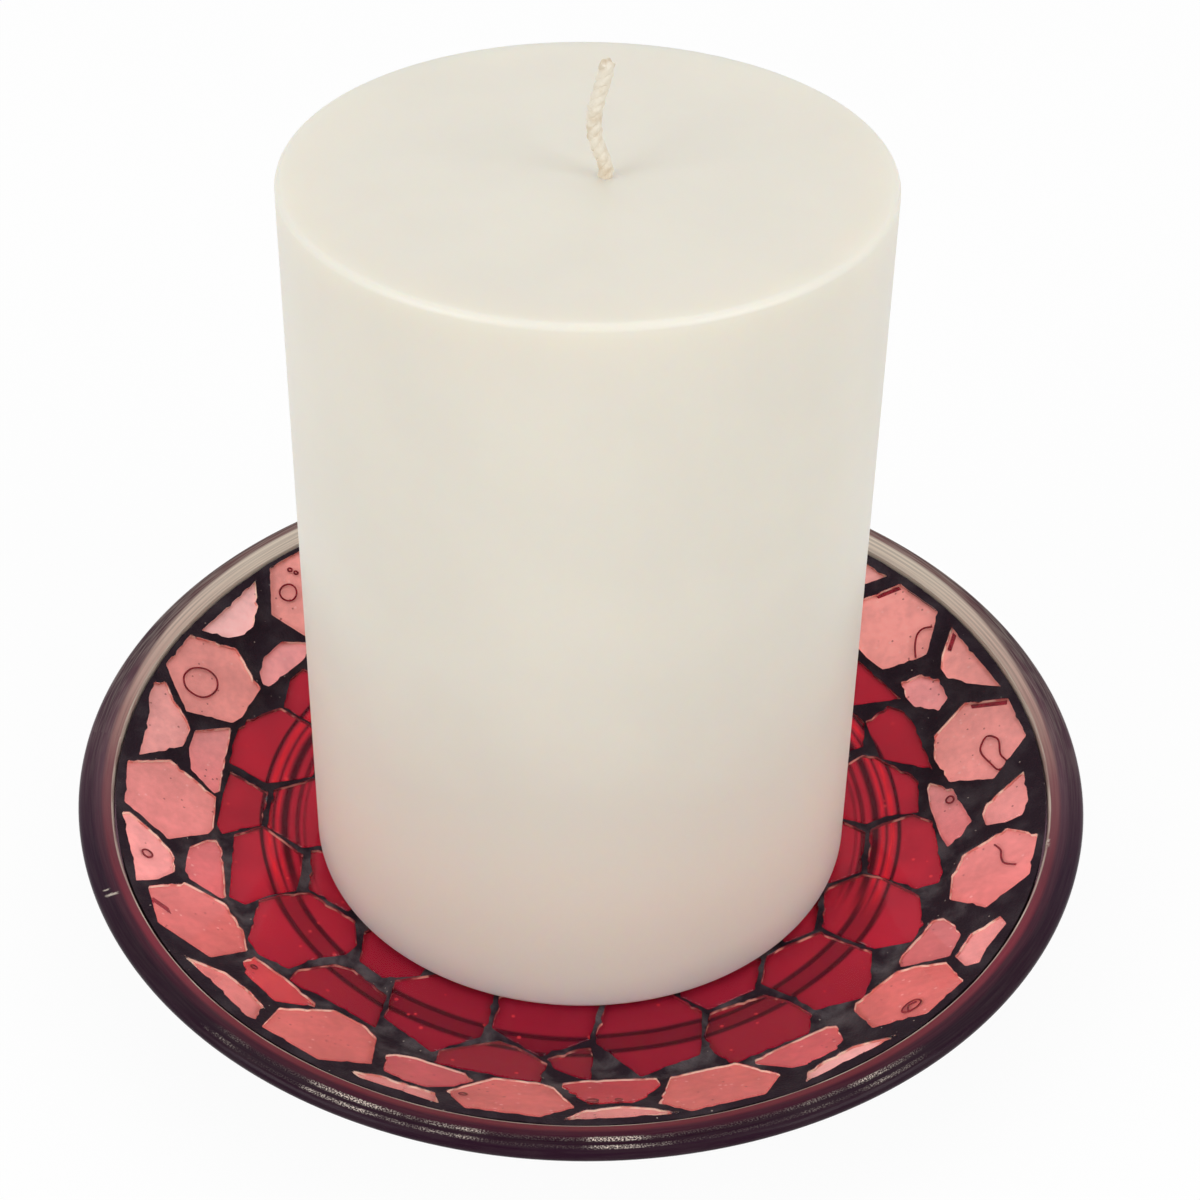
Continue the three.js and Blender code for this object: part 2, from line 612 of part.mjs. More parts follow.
const candle = new THREE.Group();
addMesh(candle, 'candle_wax', fromSolid(waxSolid()), waxColour, 0.55);
addMesh(candle, 'wick', wickGeometry(), wickColour, 0.95);
const sustainer = addMesh(candle, 'wick_sustainer', turned(sustainerLine(), boreSteps), tinColour, 0.35, 0.9);
sustainer.position.set(...wickOffset, 0);
part.add(candle);

export default part;
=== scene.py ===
"""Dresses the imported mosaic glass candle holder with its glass, grout, wax and wick.

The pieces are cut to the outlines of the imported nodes, so that each stays where its solid is.
Lengths are in metres.
"""

from __future__ import annotations

import json
import logging
import math
import random
from dataclasses import dataclass, field
from enum import Enum
from typing import Callable, Iterable, Sequence

import bmesh
import bpy
from mathutils import Matrix, Vector, kdtree, noise
from mathutils.geometry import delaunay_2d_cdt

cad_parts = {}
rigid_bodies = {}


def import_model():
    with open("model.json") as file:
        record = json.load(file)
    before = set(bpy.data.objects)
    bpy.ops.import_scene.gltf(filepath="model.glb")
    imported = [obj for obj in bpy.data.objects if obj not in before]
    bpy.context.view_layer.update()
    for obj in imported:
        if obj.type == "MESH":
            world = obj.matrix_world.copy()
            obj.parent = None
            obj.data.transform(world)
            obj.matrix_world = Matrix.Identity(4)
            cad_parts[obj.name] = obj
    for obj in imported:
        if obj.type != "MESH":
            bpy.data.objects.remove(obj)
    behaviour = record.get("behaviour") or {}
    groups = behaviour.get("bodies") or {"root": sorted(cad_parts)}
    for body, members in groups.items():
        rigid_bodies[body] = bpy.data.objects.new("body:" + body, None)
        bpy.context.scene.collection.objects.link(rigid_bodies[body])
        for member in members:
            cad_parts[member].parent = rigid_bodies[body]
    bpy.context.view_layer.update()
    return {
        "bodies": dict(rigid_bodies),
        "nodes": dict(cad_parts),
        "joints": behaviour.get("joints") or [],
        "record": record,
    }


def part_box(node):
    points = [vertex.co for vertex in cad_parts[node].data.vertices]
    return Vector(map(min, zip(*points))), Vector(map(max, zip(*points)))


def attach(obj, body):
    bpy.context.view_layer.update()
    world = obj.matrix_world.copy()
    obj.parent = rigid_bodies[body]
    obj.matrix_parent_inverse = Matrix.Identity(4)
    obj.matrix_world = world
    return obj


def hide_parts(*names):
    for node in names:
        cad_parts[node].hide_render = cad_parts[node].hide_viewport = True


log = logging.getLogger("candle_holder")

MM = 0.001
Colour = tuple[float, float, float]
Profile = list[tuple[float, float]]
Stops = tuple[tuple[float, Colour], ...]
Socket = bpy.types.NodeSocket


def linear(red: int, green: int, blue: int) -> Colour:
    """Turns a colour of a screen, from 0 to 255, into scene values.

    Args:
        red: The red part.
        green: The green part.
        blue: The blue part.

    Returns:
        The same colour in linear values.
    """
    shares = (part / 255 for part in (red, green, blue))
    return tuple(s / 12.92 if s <= 0.04045 else ((s + 0.055) / 1.055) ** 2.4 for s in shares)


def screen_stops(*rows: tuple[float, int, int, int]) -> Stops:
    """Turns rows of a place and a colour of a screen into the stops of a ramp."""
    return tuple((place, linear(*colour)) for place, *colour in rows)


def smooth(share: float) -> float:
    """Eases a share from 0 to 1 and holds it there outside that range."""
    held = min(1.0, max(0.0, share))
    return held * held * (3 - 2 * held)


@dataclass(frozen=True)
class Bowl:
    """The bowl that the tops of the pieces lie on, and the layers under it."""

    field_radius: float = 65.7 * MM
    rise: float = 11.95 * MM
    slope: float = math.radians(31.8)
    corner: float = 25 * MM
    floor_level: float = 6.8 * MM
    tile_thickness: float = 1.8 * MM
    film_top: float = 2.1 * MM
    film_bottom: float = 2.4 * MM
    glass_top: float = 2.7 * MM
    glass_bottom: float = 4.8 * MM

    @property
    def wall_foot(self) -> float:
        """The radius at which the wall's line meets the floor."""
        return self.field_radius - self.rise / math.tan(self.slope)

    @property
    def floor_radius(self) -> float:
        """The radius at which the round corner starts."""
        return self.wall_foot - self.corner * math.tan(self.slope / 2)

    def height(self, radius: float, depth: float = 0.0) -> float:
        """Gives the height of a layer of the bowl.

        Args:
            radius: The distance from the axis.
            depth: How far the layer lies below the tops, square to the bowl.

        Returns:
            The height above the table.
        """
        arc = self.corner + depth
        if radius <= self.floor_radius:
            return self.floor_level - depth
        if radius < self.floor_radius + arc * math.sin(self.slope):
            across = radius - self.floor_radius
            return self.floor_level + self.corner - math.sqrt(arc * arc - across * across)
        wall = (radius - self.wall_foot) * math.tan(self.slope)
        return self.floor_level + wall - depth / math.cos(self.slope)

    def line(self, depth: float, start: float, end: float, steps: int = 10) -> Profile:
        """Follows a layer outwards.

        Args:
            depth: The layer's depth below the tops.
            start: The radius of the first point.
            end: The radius of the last point.
            steps: How many points the round corner gets.

        Returns:
            The points as radius and height.
        """
        lean = [self.slope * step / steps for step in range(steps + 1)]
        radii = [self.floor_radius + (self.corner + depth) * math.sin(angle) for angle in lean]
        inside = [radius for radius in radii if start < radius < end]
        return [(radius, self.height(radius, depth)) for radius in [start, *inside, end]]


BOWL = Bowl()


class Nodes:
    """Adds nodes to a node tree and links them."""

    def __init__(self, tree: bpy.types.NodeTree) -> None:
        """Keeps the tree.

        Args:
            tree: The tree that gets the nodes.
        """
        self.tree = tree

    def add(self, kind: str, inputs: dict | None = None, **settings: object) -> bpy.types.Node:
        """Adds one node.

        Args:
            kind: The node's type name.
            inputs: Values or sockets for its inputs, by name or number.
            settings: Properties of the node.

        Returns:
            The new node.
        """
        node = self.tree.nodes.new(kind)
        for name, value in settings.items():
            setattr(node, name, value)
        self.feed(node, inputs or {})
        return node

    def feed(self, node: bpy.types.Node, inputs: dict) -> None:
        """Sets or links inputs of a node.

        Args:
            node: The node.
            inputs: Values or sockets for its inputs, by name or number.
        """
        for name, value in inputs.items():
            socket = node.inputs[name]
            if isinstance(value, Socket):
                self.link(value, socket)
            elif isinstance(value, tuple) and len(value) == 3 and socket.type == "RGBA":
                socket.default_value = (*value, 1.0)
            else:
                socket.default_value = value

    def link(self, source: Socket, target: Socket) -> None:
        """Links an output to an input."""
        self.tree.links.new(source, target)

    def math(self, operation: str, *values: object) -> Socket:
        """Adds a Math node and returns its result."""
        node = self.add("ShaderNodeMath", dict(enumerate(values)), operation=operation)
        return node.outputs[0]

    def product(self, *values: object) -> Socket:
        """Multiplies all the values.

        Args:
            values: Numbers or sockets.

        Returns:
            The product.
        """
        result = values[0]
        for value in values[1:]:
            result = self.math("MULTIPLY", result, value)
        return result

    def spot(self) -> Socket:
        """Gives the place on the piece."""
        return self.add("ShaderNodeTexCoord").outputs["Object"]

    def attribute(self, name: str) -> Socket:
        """Reads a number that the mesh holds at its points."""
        return self.add("ShaderNodeAttribute", attribute_name=name).outputs["Fac"]

    def grey(self, level: Socket) -> Socket:
        """Turns a level into a grey colour."""
        return self.add("ShaderNodeCombineColor", {0: level, 1: level, 2: level}).outputs[0]

    def span(self, value: object, low: object, high: object) -> Socket:
        """Rises smoothly from 0 to 1 between two values.

        Args:
            value: What is mapped.
            low: Where it is 0.
            high: Where it is 1.

        Returns:
            The share.
        """
        node = self.add("ShaderNodeMapRange", {
            "Value": value, "From Min": low, "From Max": high,
        }, interpolation_type="SMOOTHSTEP")
        return node.outputs["Result"]

    def band(self, value: Socket, middle: float, half: float) -> Socket:
        """Gives 1 in the middle of a band and 0 outside it."""
        away = self.math("ABSOLUTE", self.math("SUBTRACT", value, middle))
        return self.span(away, half, 0.3 * half)

    def ramp(self, factor: Socket, stops: Sequence[tuple[float, Colour]]) -> Socket:
        """Adds a colour ramp.

        Args:
            factor: The socket that drives it.
            stops: The position and the colour of each stop.

        Returns:
            The ramp's colour.
        """
        node = self.add("ShaderNodeValToRGB", {"Fac": factor})
        elements = node.color_ramp.elements
        for index, (place, colour) in enumerate(stops):
            element = elements[index] if index < 2 else elements.new(place)
            element.position = place
            element.color = (*colour, 1.0)
        return node.outputs["Color"]

    def mix(self, factor: object, first: object, second: object, blend: str = "MIX") -> Socket:
        """Mixes two colours and returns the result."""
        inputs = {0: factor, 6: first, 7: second}
        return self.add("ShaderNodeMix", inputs, data_type="RGBA", blend_type=blend).outputs[2]

    def cloud(self, place: Socket, scale: object, detail: float) -> Socket:
        """Gives a noise at a place."""
        return self.add("ShaderNodeTexNoise", {"Vector": place, "Scale": scale, "Detail": detail}).outputs["Fac"]

    def bump(self, shader: bpy.types.Node, height: Socket, distance: float, strength: float) -> None:
        """Gives a shader a bump from a height."""
        inputs = {"Height": height, "Distance": distance, "Strength": strength}
        self.link(self.add("ShaderNodeBump", inputs).outputs["Normal"], shader.inputs["Normal"])

    def group(self, group: Group, inputs: dict[str, float]) -> bpy.types.NodeOutputs:
        """Places a shared shader group with its own values and gives its outputs."""
        return self.add("ShaderNodeGroup", inputs, node_tree=bpy.data.node_groups[group.value]).outputs

    def mottle(self, scale: float, low: float, high: float) -> Socket:
        """Gives a mask of soft patches."""
        return self.group(Group.MOTTLE, {"Scale": scale, "Low": low, "High": high})["Mask"]

    def grit(self, scale: float, share: float) -> bpy.types.NodeOutputs:
        """Gives the height of sandy grains and the specks on a share of them."""
        return self.group(Group.GRIT, {"Scale": scale, "Share": share})

    def streaks(self, across: float, along: float) -> Socket:
        """Gives a mask of streaks that run round the axis."""
        return self.group(Group.STREAKS, {"Across": across, "Along": along})["Mask"]

    def around(self, wobble: float = 0.0) -> bpy.types.NodeOutputs:
        """Gives the distance from the axis, how far in front a place is, and its height."""
        return self.group(Group.ROUND, {"Wobble": wobble})


class Group(Enum):
    """The shader groups that several finishes share."""

    MOTTLE = "mottle"
    GRIT = "grit"
    ROUND = "round_distance"
    STREAKS = "round_streaks"


def group_tree(
    group: Group, inputs: dict[str, float], outputs: Iterable[str],
) -> tuple[Nodes, bpy.types.Node, bpy.types.Node]:
    """Starts a shader node group.

    Args:
        group: Which group it is.
        inputs: The names and defaults of its numbers.
        outputs: The names of what it puts out.

    Returns:
        A node adder for the group, its input node and its output node.
    """
    tree = bpy.data.node_groups.new(group.value, "ShaderNodeTree")
    for name, value in inputs.items():
        socket = tree.interface.new_socket(name, in_out="INPUT", socket_type="NodeSocketFloat")
        socket.default_value = value
    for name in outputs:
        tree.interface.new_socket(name, in_out="OUTPUT", socket_type="NodeSocketFloat")
    nodes = Nodes(tree)
    return nodes, nodes.add("NodeGroupInput"), nodes.add("NodeGroupOutput")


def build_groups() -> None:
    """Builds the shader groups once."""
    nodes, given, put = group_tree(Group.MOTTLE, {"Scale": 200.0, "Low": 0.35, "High": 0.65}, ["Mask"])
    place = nodes.spot()
    cloud = nodes.cloud(place, given.outputs["Scale"], 4.0)
    spread = nodes.span(cloud, given.outputs["Low"], given.outputs["High"])
    nodes.link(spread, put.inputs["Mask"])

    nodes, given, put = group_tree(Group.GRIT, {"Scale": 2500.0, "Share": 0.5}, ["Height", "Specks"])
    place = nodes.spot()
    cells = nodes.add("ShaderNodeTexVoronoi", {"Vector": place, "Scale": given.outputs["Scale"]})
    cloud = nodes.cloud(place, given.outputs["Scale"], 3.0)
    height = nodes.math("ADD", cells.outputs["Distance"], cloud)
    nodes.link(height, put.inputs["Height"])
    chance = nodes.add("ShaderNodeSeparateColor", {"Color": cells.outputs["Color"]}).outputs[0]
    chosen = nodes.math("LESS_THAN", chance, given.outputs["Share"])
    near = nodes.math("LESS_THAN", cells.outputs["Distance"], 0.32)
    nodes.link(nodes.math("MULTIPLY", chosen, near), put.inputs["Specks"])

    nodes, given, put = group_tree(Group.ROUND, {"Wobble": 0.0}, ["Radius", "Front", "Height"])
    place = nodes.spot()
    parts = nodes.add("ShaderNodeSeparateXYZ", {"Vector": place})
    square_x = nodes.math("MULTIPLY", parts.outputs["X"], parts.outputs["X"])
    square_y = nodes.math("MULTIPLY", parts.outputs["Y"], parts.outputs["Y"])
    radius = nodes.math("SQRT", nodes.math("ADD", square_x, square_y))
    cloud = nodes.cloud(place, 90.0, 2.0)
    shift = nodes.math("MULTIPLY", nodes.math("SUBTRACT", cloud, 0.5), given.outputs["Wobble"])
    nodes.link(nodes.math("ADD", radius, shift), put.inputs["Radius"])
    towards = nodes.math("DIVIDE", parts.outputs["Y"], nodes.math("MAXIMUM", radius, MM))
    nodes.link(nodes.math("MULTIPLY_ADD", towards, -0.5, 0.5), put.inputs["Front"])
    nodes.link(parts.outputs["Z"], put.inputs["Height"])

    nodes, given, put = group_tree(Group.STREAKS, {"Across": 2500.0, "Along": 3.0}, ["Mask"])
    place = nodes.spot()
    parts = nodes.add("ShaderNodeSeparateXYZ", {"Vector": place})
    flat = nodes.add("ShaderNodeCombineXYZ", {"X": parts.outputs["X"], "Y": parts.outputs["Y"]})
    length = nodes.add("ShaderNodeVectorMath", {0: flat.outputs[0]}, operation="LENGTH").outputs["Value"]
    angle = nodes.math("ARCTAN2", parts.outputs["Y"], parts.outputs["X"])
    lane = nodes.add("ShaderNodeCombineXYZ", {
        "X": nodes.math("MULTIPLY", length, given.outputs["Across"]),
        "Y": nodes.math("MULTIPLY", angle, given.outputs["Along"]),
    })
    cloud = nodes.cloud(lane.outputs[0], 1.0, 3.0)
    nodes.link(nodes.span(cloud, 0.38, 0.64), put.inputs["Mask"])


def emptied(holder: bpy.types.Material | bpy.types.World) -> Nodes:
    """Empties the node tree of a material or a world.

    Args:
        holder: The material or the world.

    Returns:
        The tree's node adder.
    """
    holder.use_nodes = True
    holder.node_tree.nodes.clear()
    return Nodes(holder.node_tree)


@dataclass(frozen=True)
class Finish:
    """A material made by nodes. Each kind of finish paints in its own way."""

    name: str

    def paint(self, nodes: Nodes, shader: bpy.types.Node) -> Socket:
        """Sets the shader's inputs and returns the socket for the surface."""
        raise NotImplementedError

    def material(self) -> bpy.types.Material:
        """Gives the material, which is built on first use.

        Returns:
            The material.
        """
        made = bpy.data.materials.get(self.name)
        if made is None:
            made = bpy.data.materials.new(self.name)
            nodes = emptied(made)
            shader = nodes.add("ShaderNodeBsdfPrincipled")
            surface = self.paint(nodes, shader)
            nodes.add("ShaderNodeOutputMaterial", {"Surface": surface})
        return made


@dataclass(frozen=True)
class ClearGlass(Finish):
    """Clear or tinted glass that lets the lamps through to what lies behind it."""

    tint: Colour = (0.95, 0.95, 0.95)
    shade: Colour = (0.9, 0.9, 0.9)
    roughness: float = 0.02
    index: float = 1.5
    wave: float = 0.02 * MM
    wave_scale: float = 120.0

    def paint(self, nodes: Nodes, shader: bpy.types.Node) -> Socket:
        """Makes glass with a faint wave.

        Args:
            nodes: Adds the material's nodes.
            shader: The main shader.

        Returns:
            The surface.
        """
        nodes.feed(shader, {
            "Base Color": self.tint, "Roughness": self.roughness, "IOR": self.index, "Transmission Weight": 1.0,
        })
        mottle = nodes.mottle(self.wave_scale, 0.2, 0.8)
        nodes.bump(shader, mottle, self.wave, 1.0)
        lamps = nodes.add("ShaderNodeBsdfTransparent", {"Color": self.shade})
        path = nodes.add("ShaderNodeLightPath")
        mixed = nodes.add("ShaderNodeMixShader", {
            0: path.outputs["Is Shadow Ray"],
            1: shader.outputs["BSDF"],
            2: lamps.outputs["BSDF"],
        })
        return mixed.outputs["Shader"]


@dataclass(frozen=True)
class PaleSpot:
    """A pale spot on the rim, in degrees round the axis and metres from it. The sparkle's corner patch is one of
    them, as a painted highlight.
    """

    degrees: float
    inner: float
    outer: float
    half_width: float


@dataclass(frozen=True)
class DishGlass(Finish):
    """Smoky plum glass, whose rim has a painted skin: painted silver reflection behind the candle and painted dark
    plum shade in front.
    """

    tint: Colour = linear(112, 84, 96)
    shade: Colour = linear(170, 140, 150)
    crest: float = 68.0 * MM
    junction: float = 66.0 * MM
    level: float = 17.6 * MM
    cover: float = 0.95
    # A pale colour for wear and for the rim's painted reflection and highlights.
    wear_and_sheen: Colour = linear(214, 202, 188)
    # The colour of the painted highlight on the crest.
    painted_glint: Colour = linear(226, 212, 200)
    # Ramps from the rear (0) to the front (1): painted reflection, pale silver at the rear, and painted shade,
    # dark plum at the front.
    inner: Stops = screen_stops(
        (0.0, 244, 230, 212), (0.2, 240, 224, 206), (0.33, 226, 198, 184),
        (0.4, 206, 170, 160), (0.46, 176, 136, 130), (0.545, 134, 86, 90),
        (0.67, 108, 48, 60), (0.79, 132, 42, 60), (0.88, 122, 44, 58),
        (1.0, 114, 40, 54),
    )
    middle: Stops = screen_stops(
        (0.0, 150, 116, 112), (0.22, 122, 86, 84), (0.33, 88, 56, 64),
        (0.42, 100, 70, 80), (0.55, 92, 64, 76), (0.67, 72, 40, 54),
        (0.79, 66, 28, 44), (0.88, 66, 26, 42), (1.0, 68, 22, 42),
    )
    outer: Stops = screen_stops(
        (0.0, 104, 70, 70), (0.2, 90, 60, 62), (0.33, 70, 44, 54),
        (0.5, 76, 50, 62), (0.67, 46, 25, 42), (0.79, 40, 18, 33),
        (0.88, 36, 14, 30), (1.0, 38, 10, 30),
    )
    # The patch at the front left where the painted highlight of the sparkle gathers.
    corner_degrees: float = 240.0
    corner_depth: float = 3.2 * MM
    corner_half: float = 15.0 * MM
    sparkle_strength: float = 1.7
    pale_spots: tuple[PaleSpot, ...] = (
        PaleSpot(207.2, 67.6 * MM, 70.0 * MM, 0.35 * MM),
        PaleSpot(206.3, 68.6 * MM, 69.8 * MM, 0.2 * MM),
        PaleSpot(344.3, 65.4 * MM, 66.7 * MM, 1.1 * MM),
    )

    def paint(self, nodes: Nodes, shader: bpy.types.Node) -> Socket:
        """Lays the rim's skin, with its painted reflection, shade and highlights, over the glass by the place
        round the axis.

        Args:
            nodes: Adds the material's nodes.
            shader: The main shader.

        Returns:
            The surface.
        """
        place = nodes.around(0.25 * MM)
        fine = nodes.streaks(4200.0, 9.0)
        colour = self.lined(nodes, place, self.zoned(nodes, place), fine)
        colour = self.speckled(nodes, place, colour)
        # Pale spots mixed towards the pale colour of wear and painted reflection.
        for pale_spot in self.pale_spots:
            colour = nodes.mix(self.spot_mask(nodes, pale_spot), colour, self.wear_and_sheen)
        skin = nodes.add("ShaderNodeBsdfPrincipled", {
            "Base Color": colour, "Roughness": 0.24, "Specular IOR Level": 0.05,
        })
        nodes.bump(skin, fine, 0.02 * MM, 0.5)
        high = nodes.span(place["Height"], self.level - 2.6 * MM, self.level)
        beyond = nodes.math("GREATER_THAN", place["Radius"], self.junction - 0.35 * MM)
        mask = nodes.product(high, beyond, self.cover)
        glass = ClearGlass(self.name, self.tint, self.shade, 0.03).paint(nodes, shader)
        return nodes.add("ShaderNodeMixShader", {0: mask, 1: glass, 2: skin.outputs["BSDF"]}).outputs["Shader"]

    def zoned(self, nodes: Nodes, place: bpy.types.NodeOutputs) -> Socket:
        """Gives the rim's painted colours for its inner face, its crest and its outer side: painted reflection,
        pale at the rear, and painted shade, dark at the front.

        Args:
            nodes: Adds the material's nodes.
            place: Where each point lies round the axis.

        Returns:
            The colour.
        """
        inside = nodes.ramp(place["Front"], self.inner)
        crown = nodes.ramp(place["Front"], self.middle)
        outside = nodes.ramp(place["Front"], self.outer)
        wide = nodes.span(place["Front"], 0.18, 0.44)
        limit = nodes.math("MULTIPLY_ADD", wide, -1.1 * MM, self.crest + 0.5 * MM)
        past = nodes.math("SUBTRACT", place["Radius"], limit)
        first = nodes.mix(nodes.span(past, -0.35 * MM, 0.4 * MM), inside, crown)
        return nodes.mix(nodes.span(past, 0.7 * MM, 1.6 * MM), first, outside)

    def lined(
        self, nodes: Nodes, place: bpy.types.NodeOutputs, base: Socket, fine: Socket,
    ) -> Socket:
        """Draws the streaks along the rim, the lit ones a painted reflection that is stronger towards the rear,
        and the painted highlight of the seam beside the grout.

        Args:
            nodes: Adds the material's nodes.
            place: Where each point lies round the axis.
            base: The colour under them.
            fine: The fine streaks.

        Returns:
            The colour.
        """
        streak = nodes.streaks(3400.0, 1.6)
        rear = nodes.span(place["Front"], 0.62, 0.3)
        shaded = nodes.mix(nodes.math("MULTIPLY_ADD", rear, 0.26, 0.1), base, linear(60, 42, 50))
        dark = nodes.mix(streak, base, shaded)
        amount = nodes.math("MULTIPLY", fine, nodes.math("MULTIPLY_ADD", rear, 0.2, 0.012))
        lit = nodes.mix(amount, dark, self.wear_and_sheen)
        # The seam beside the grout is a painted highlight.
        seam = nodes.band(place["Radius"], self.junction + 0.12 * MM, 0.26 * MM)
        wear_and_sheen = nodes.math("MULTIPLY", seam, nodes.math("MULTIPLY_ADD", fine, 0.5, 0.35))
        return nodes.mix(wear_and_sheen, lit, self.wear_and_sheen)

    def speckled(
        self, nodes: Nodes, place: bpy.types.NodeOutputs, base: Socket,
    ) -> Socket:
        """Draws a painted highlight: the broken white sparkle on the front of the crest and on a patch at the
        front left.

        Args:
            nodes: Adds the material's nodes.
            place: Where each point lies round the axis.
            base: The colour under it.

        Returns:
            The colour.
        """
        # Painted highlight: a broken white sparkle along the front of the crest.
        grain = nodes.streaks(7200.0, 300.0)
        sparse = nodes.span(grain, 0.38, 0.8)
        corner = PaleSpot(self.corner_degrees, self.crest, self.crest + self.corner_depth, self.corner_half)
        front = nodes.math("MAXIMUM", nodes.span(place["Front"], 0.88, 0.96), self.spot_mask(nodes, corner))
        first = nodes.band(place["Radius"], self.crest + 0.75 * MM, 0.4 * MM)
        second = nodes.band(place["Radius"], self.crest + 1.85 * MM, 0.35 * MM)
        lane = nodes.math("MULTIPLY_ADD", second, 0.7, first)
        cloud = nodes.mottle(70.0, 0.44, 0.6)
        broken = nodes.product(sparse, nodes.math("MULTIPLY_ADD", cloud, 0.95, 0.05))
        speckle = nodes.product(lane, broken, front, self.sparkle_strength)
        return nodes.mix(speckle, base, self.painted_glint)

    def spot_mask(self, nodes: Nodes, pale_spot: PaleSpot) -> Socket:
        """Gives the mask of one pale spot.

        Args:
            nodes: Adds the material's nodes.
            pale_spot: The spot.

        Returns:
            The mask.
        """
        angle = math.radians(pale_spot.degrees)
        spot = nodes.spot()
        along, across = (
            nodes.add("ShaderNodeVectorMath", {0: spot, 1: axis}, operation="DOT_PRODUCT")
            for axis in ((math.cos(angle), math.sin(angle), 0.0), (-math.sin(angle), math.cos(angle), 0.0))
        )
        middle = (pale_spot.inner + pale_spot.outer) / 2
        lane = nodes.band(across.outputs["Value"], 0.0, pale_spot.half_width)
        reach = nodes.band(along.outputs["Value"], middle, (pale_spot.outer - pale_spot.inner) / 2)
        grain = nodes.mottle(2600.0, 0.4, 0.55)
        return nodes.product(lane, reach, grain, 0.8)


@dataclass(frozen=True)
class CutEdge(Finish):
    """The ground side of a cut piece, pale and frosted, with the backing's colour in places."""

    pale: Colour = linear(234, 208, 188)
    stained: Colour = linear(205, 120, 110)
    share: float = 0.44

    def paint(self, nodes: Nodes, shader: bpy.types.Node) -> Socket:
        """Mixes the pale glass with stains and scratches.

        Args:
            nodes: Adds the material's nodes.
            shader: The main shader.

        Returns:
            The surface.
        """
        stain = nodes.mottle(420.0, self.share, self.share + 0.16)
        grit = nodes.grit(3200.0, 0.3)
        colour = nodes.mix(stain, self.pale, self.stained)
        nodes.feed(shader, {"Base Color": colour, "Roughness": 0.55, "Specular IOR Level": 0.1})
        nodes.bump(shader, grit["Height"], 0.05 * MM, 0.6)
        return shader.outputs["BSDF"]


@dataclass(frozen=True)
class Backing(Finish):
    """The coloured back of a pink piece, seen through its clear glass, with painted shade that makes it darker and
    deeper towards the front and lighter at the rear.
    """

    upper: Stops = screen_stops(
        (0.1, 242, 160, 152), (0.45, 234, 152, 147), (0.6, 228, 138, 136),
        (0.76, 222, 114, 112), (1.0, 208, 104, 101),
    )
    lower: Stops = screen_stops(
        (0.1, 238, 154, 156), (0.42, 238, 156, 155), (0.6, 216, 104, 108),
        (0.82, 206, 68, 75), (1.0, 190, 58, 68),
    )
    pale: Colour = linear(246, 190, 188)
    fleck: Colour = linear(250, 200, 195)
    speck: Colour = linear(120, 40, 48)

    def paint(self, nodes: Nodes, shader: bpy.types.Node) -> Socket:
        """Mottles the colour and adds small pale flecks and dark specks.

        Args:
            nodes: Adds the material's nodes.
            shader: The main shader.

        Returns:
            The surface.
        """
        mottle = nodes.mottle(170.0, 0.3, 0.75)
        cloth = nodes.mottle(900.0, 0.3, 0.7)
        grit = nodes.grit(1500.0, 0.05)
        front = nodes.around()["Front"]
        low = nodes.attribute("low")
        pale = nodes.attribute("pale")
        tone = nodes.attribute("tone")
        # The ramps by how far in front a point lies are painted shade: lighter at the rear, darker towards the
        # front.
        base = nodes.mix(low, nodes.ramp(front, self.upper), nodes.ramp(front, self.lower))
        lighter = nodes.mix(pale, base, self.pale)
        cloud = nodes.math("MULTIPLY_ADD", mottle, -0.22, 1.11)
        weave = nodes.math("MULTIPLY_ADD", cloth, -0.1, 1.05)
        level = nodes.product(tone, cloud, weave)
        toned = nodes.mix(1.0, lighter, nodes.grey(level), "MULTIPLY")
        flecked = nodes.mix(nodes.math("MULTIPLY", grit["Specks"], 0.3), toned, self.fleck)
        dots = nodes.grit(1900.0, 0.024)
        dotted = nodes.mix(nodes.math("MULTIPLY", dots["Specks"], 0.6), flecked, self.speck)
        nodes.feed(shader, {"Base Color": dotted, "Roughness": 0.45, "Specular IOR Level": 0.0})
        return shader.outputs["BSDF"]


@dataclass(frozen=True)
class Ring:
    """A ring on the red backing: its radius, half its width and how strongly it shows."""

    radius: float
    half: float
    strength: float = 1.0


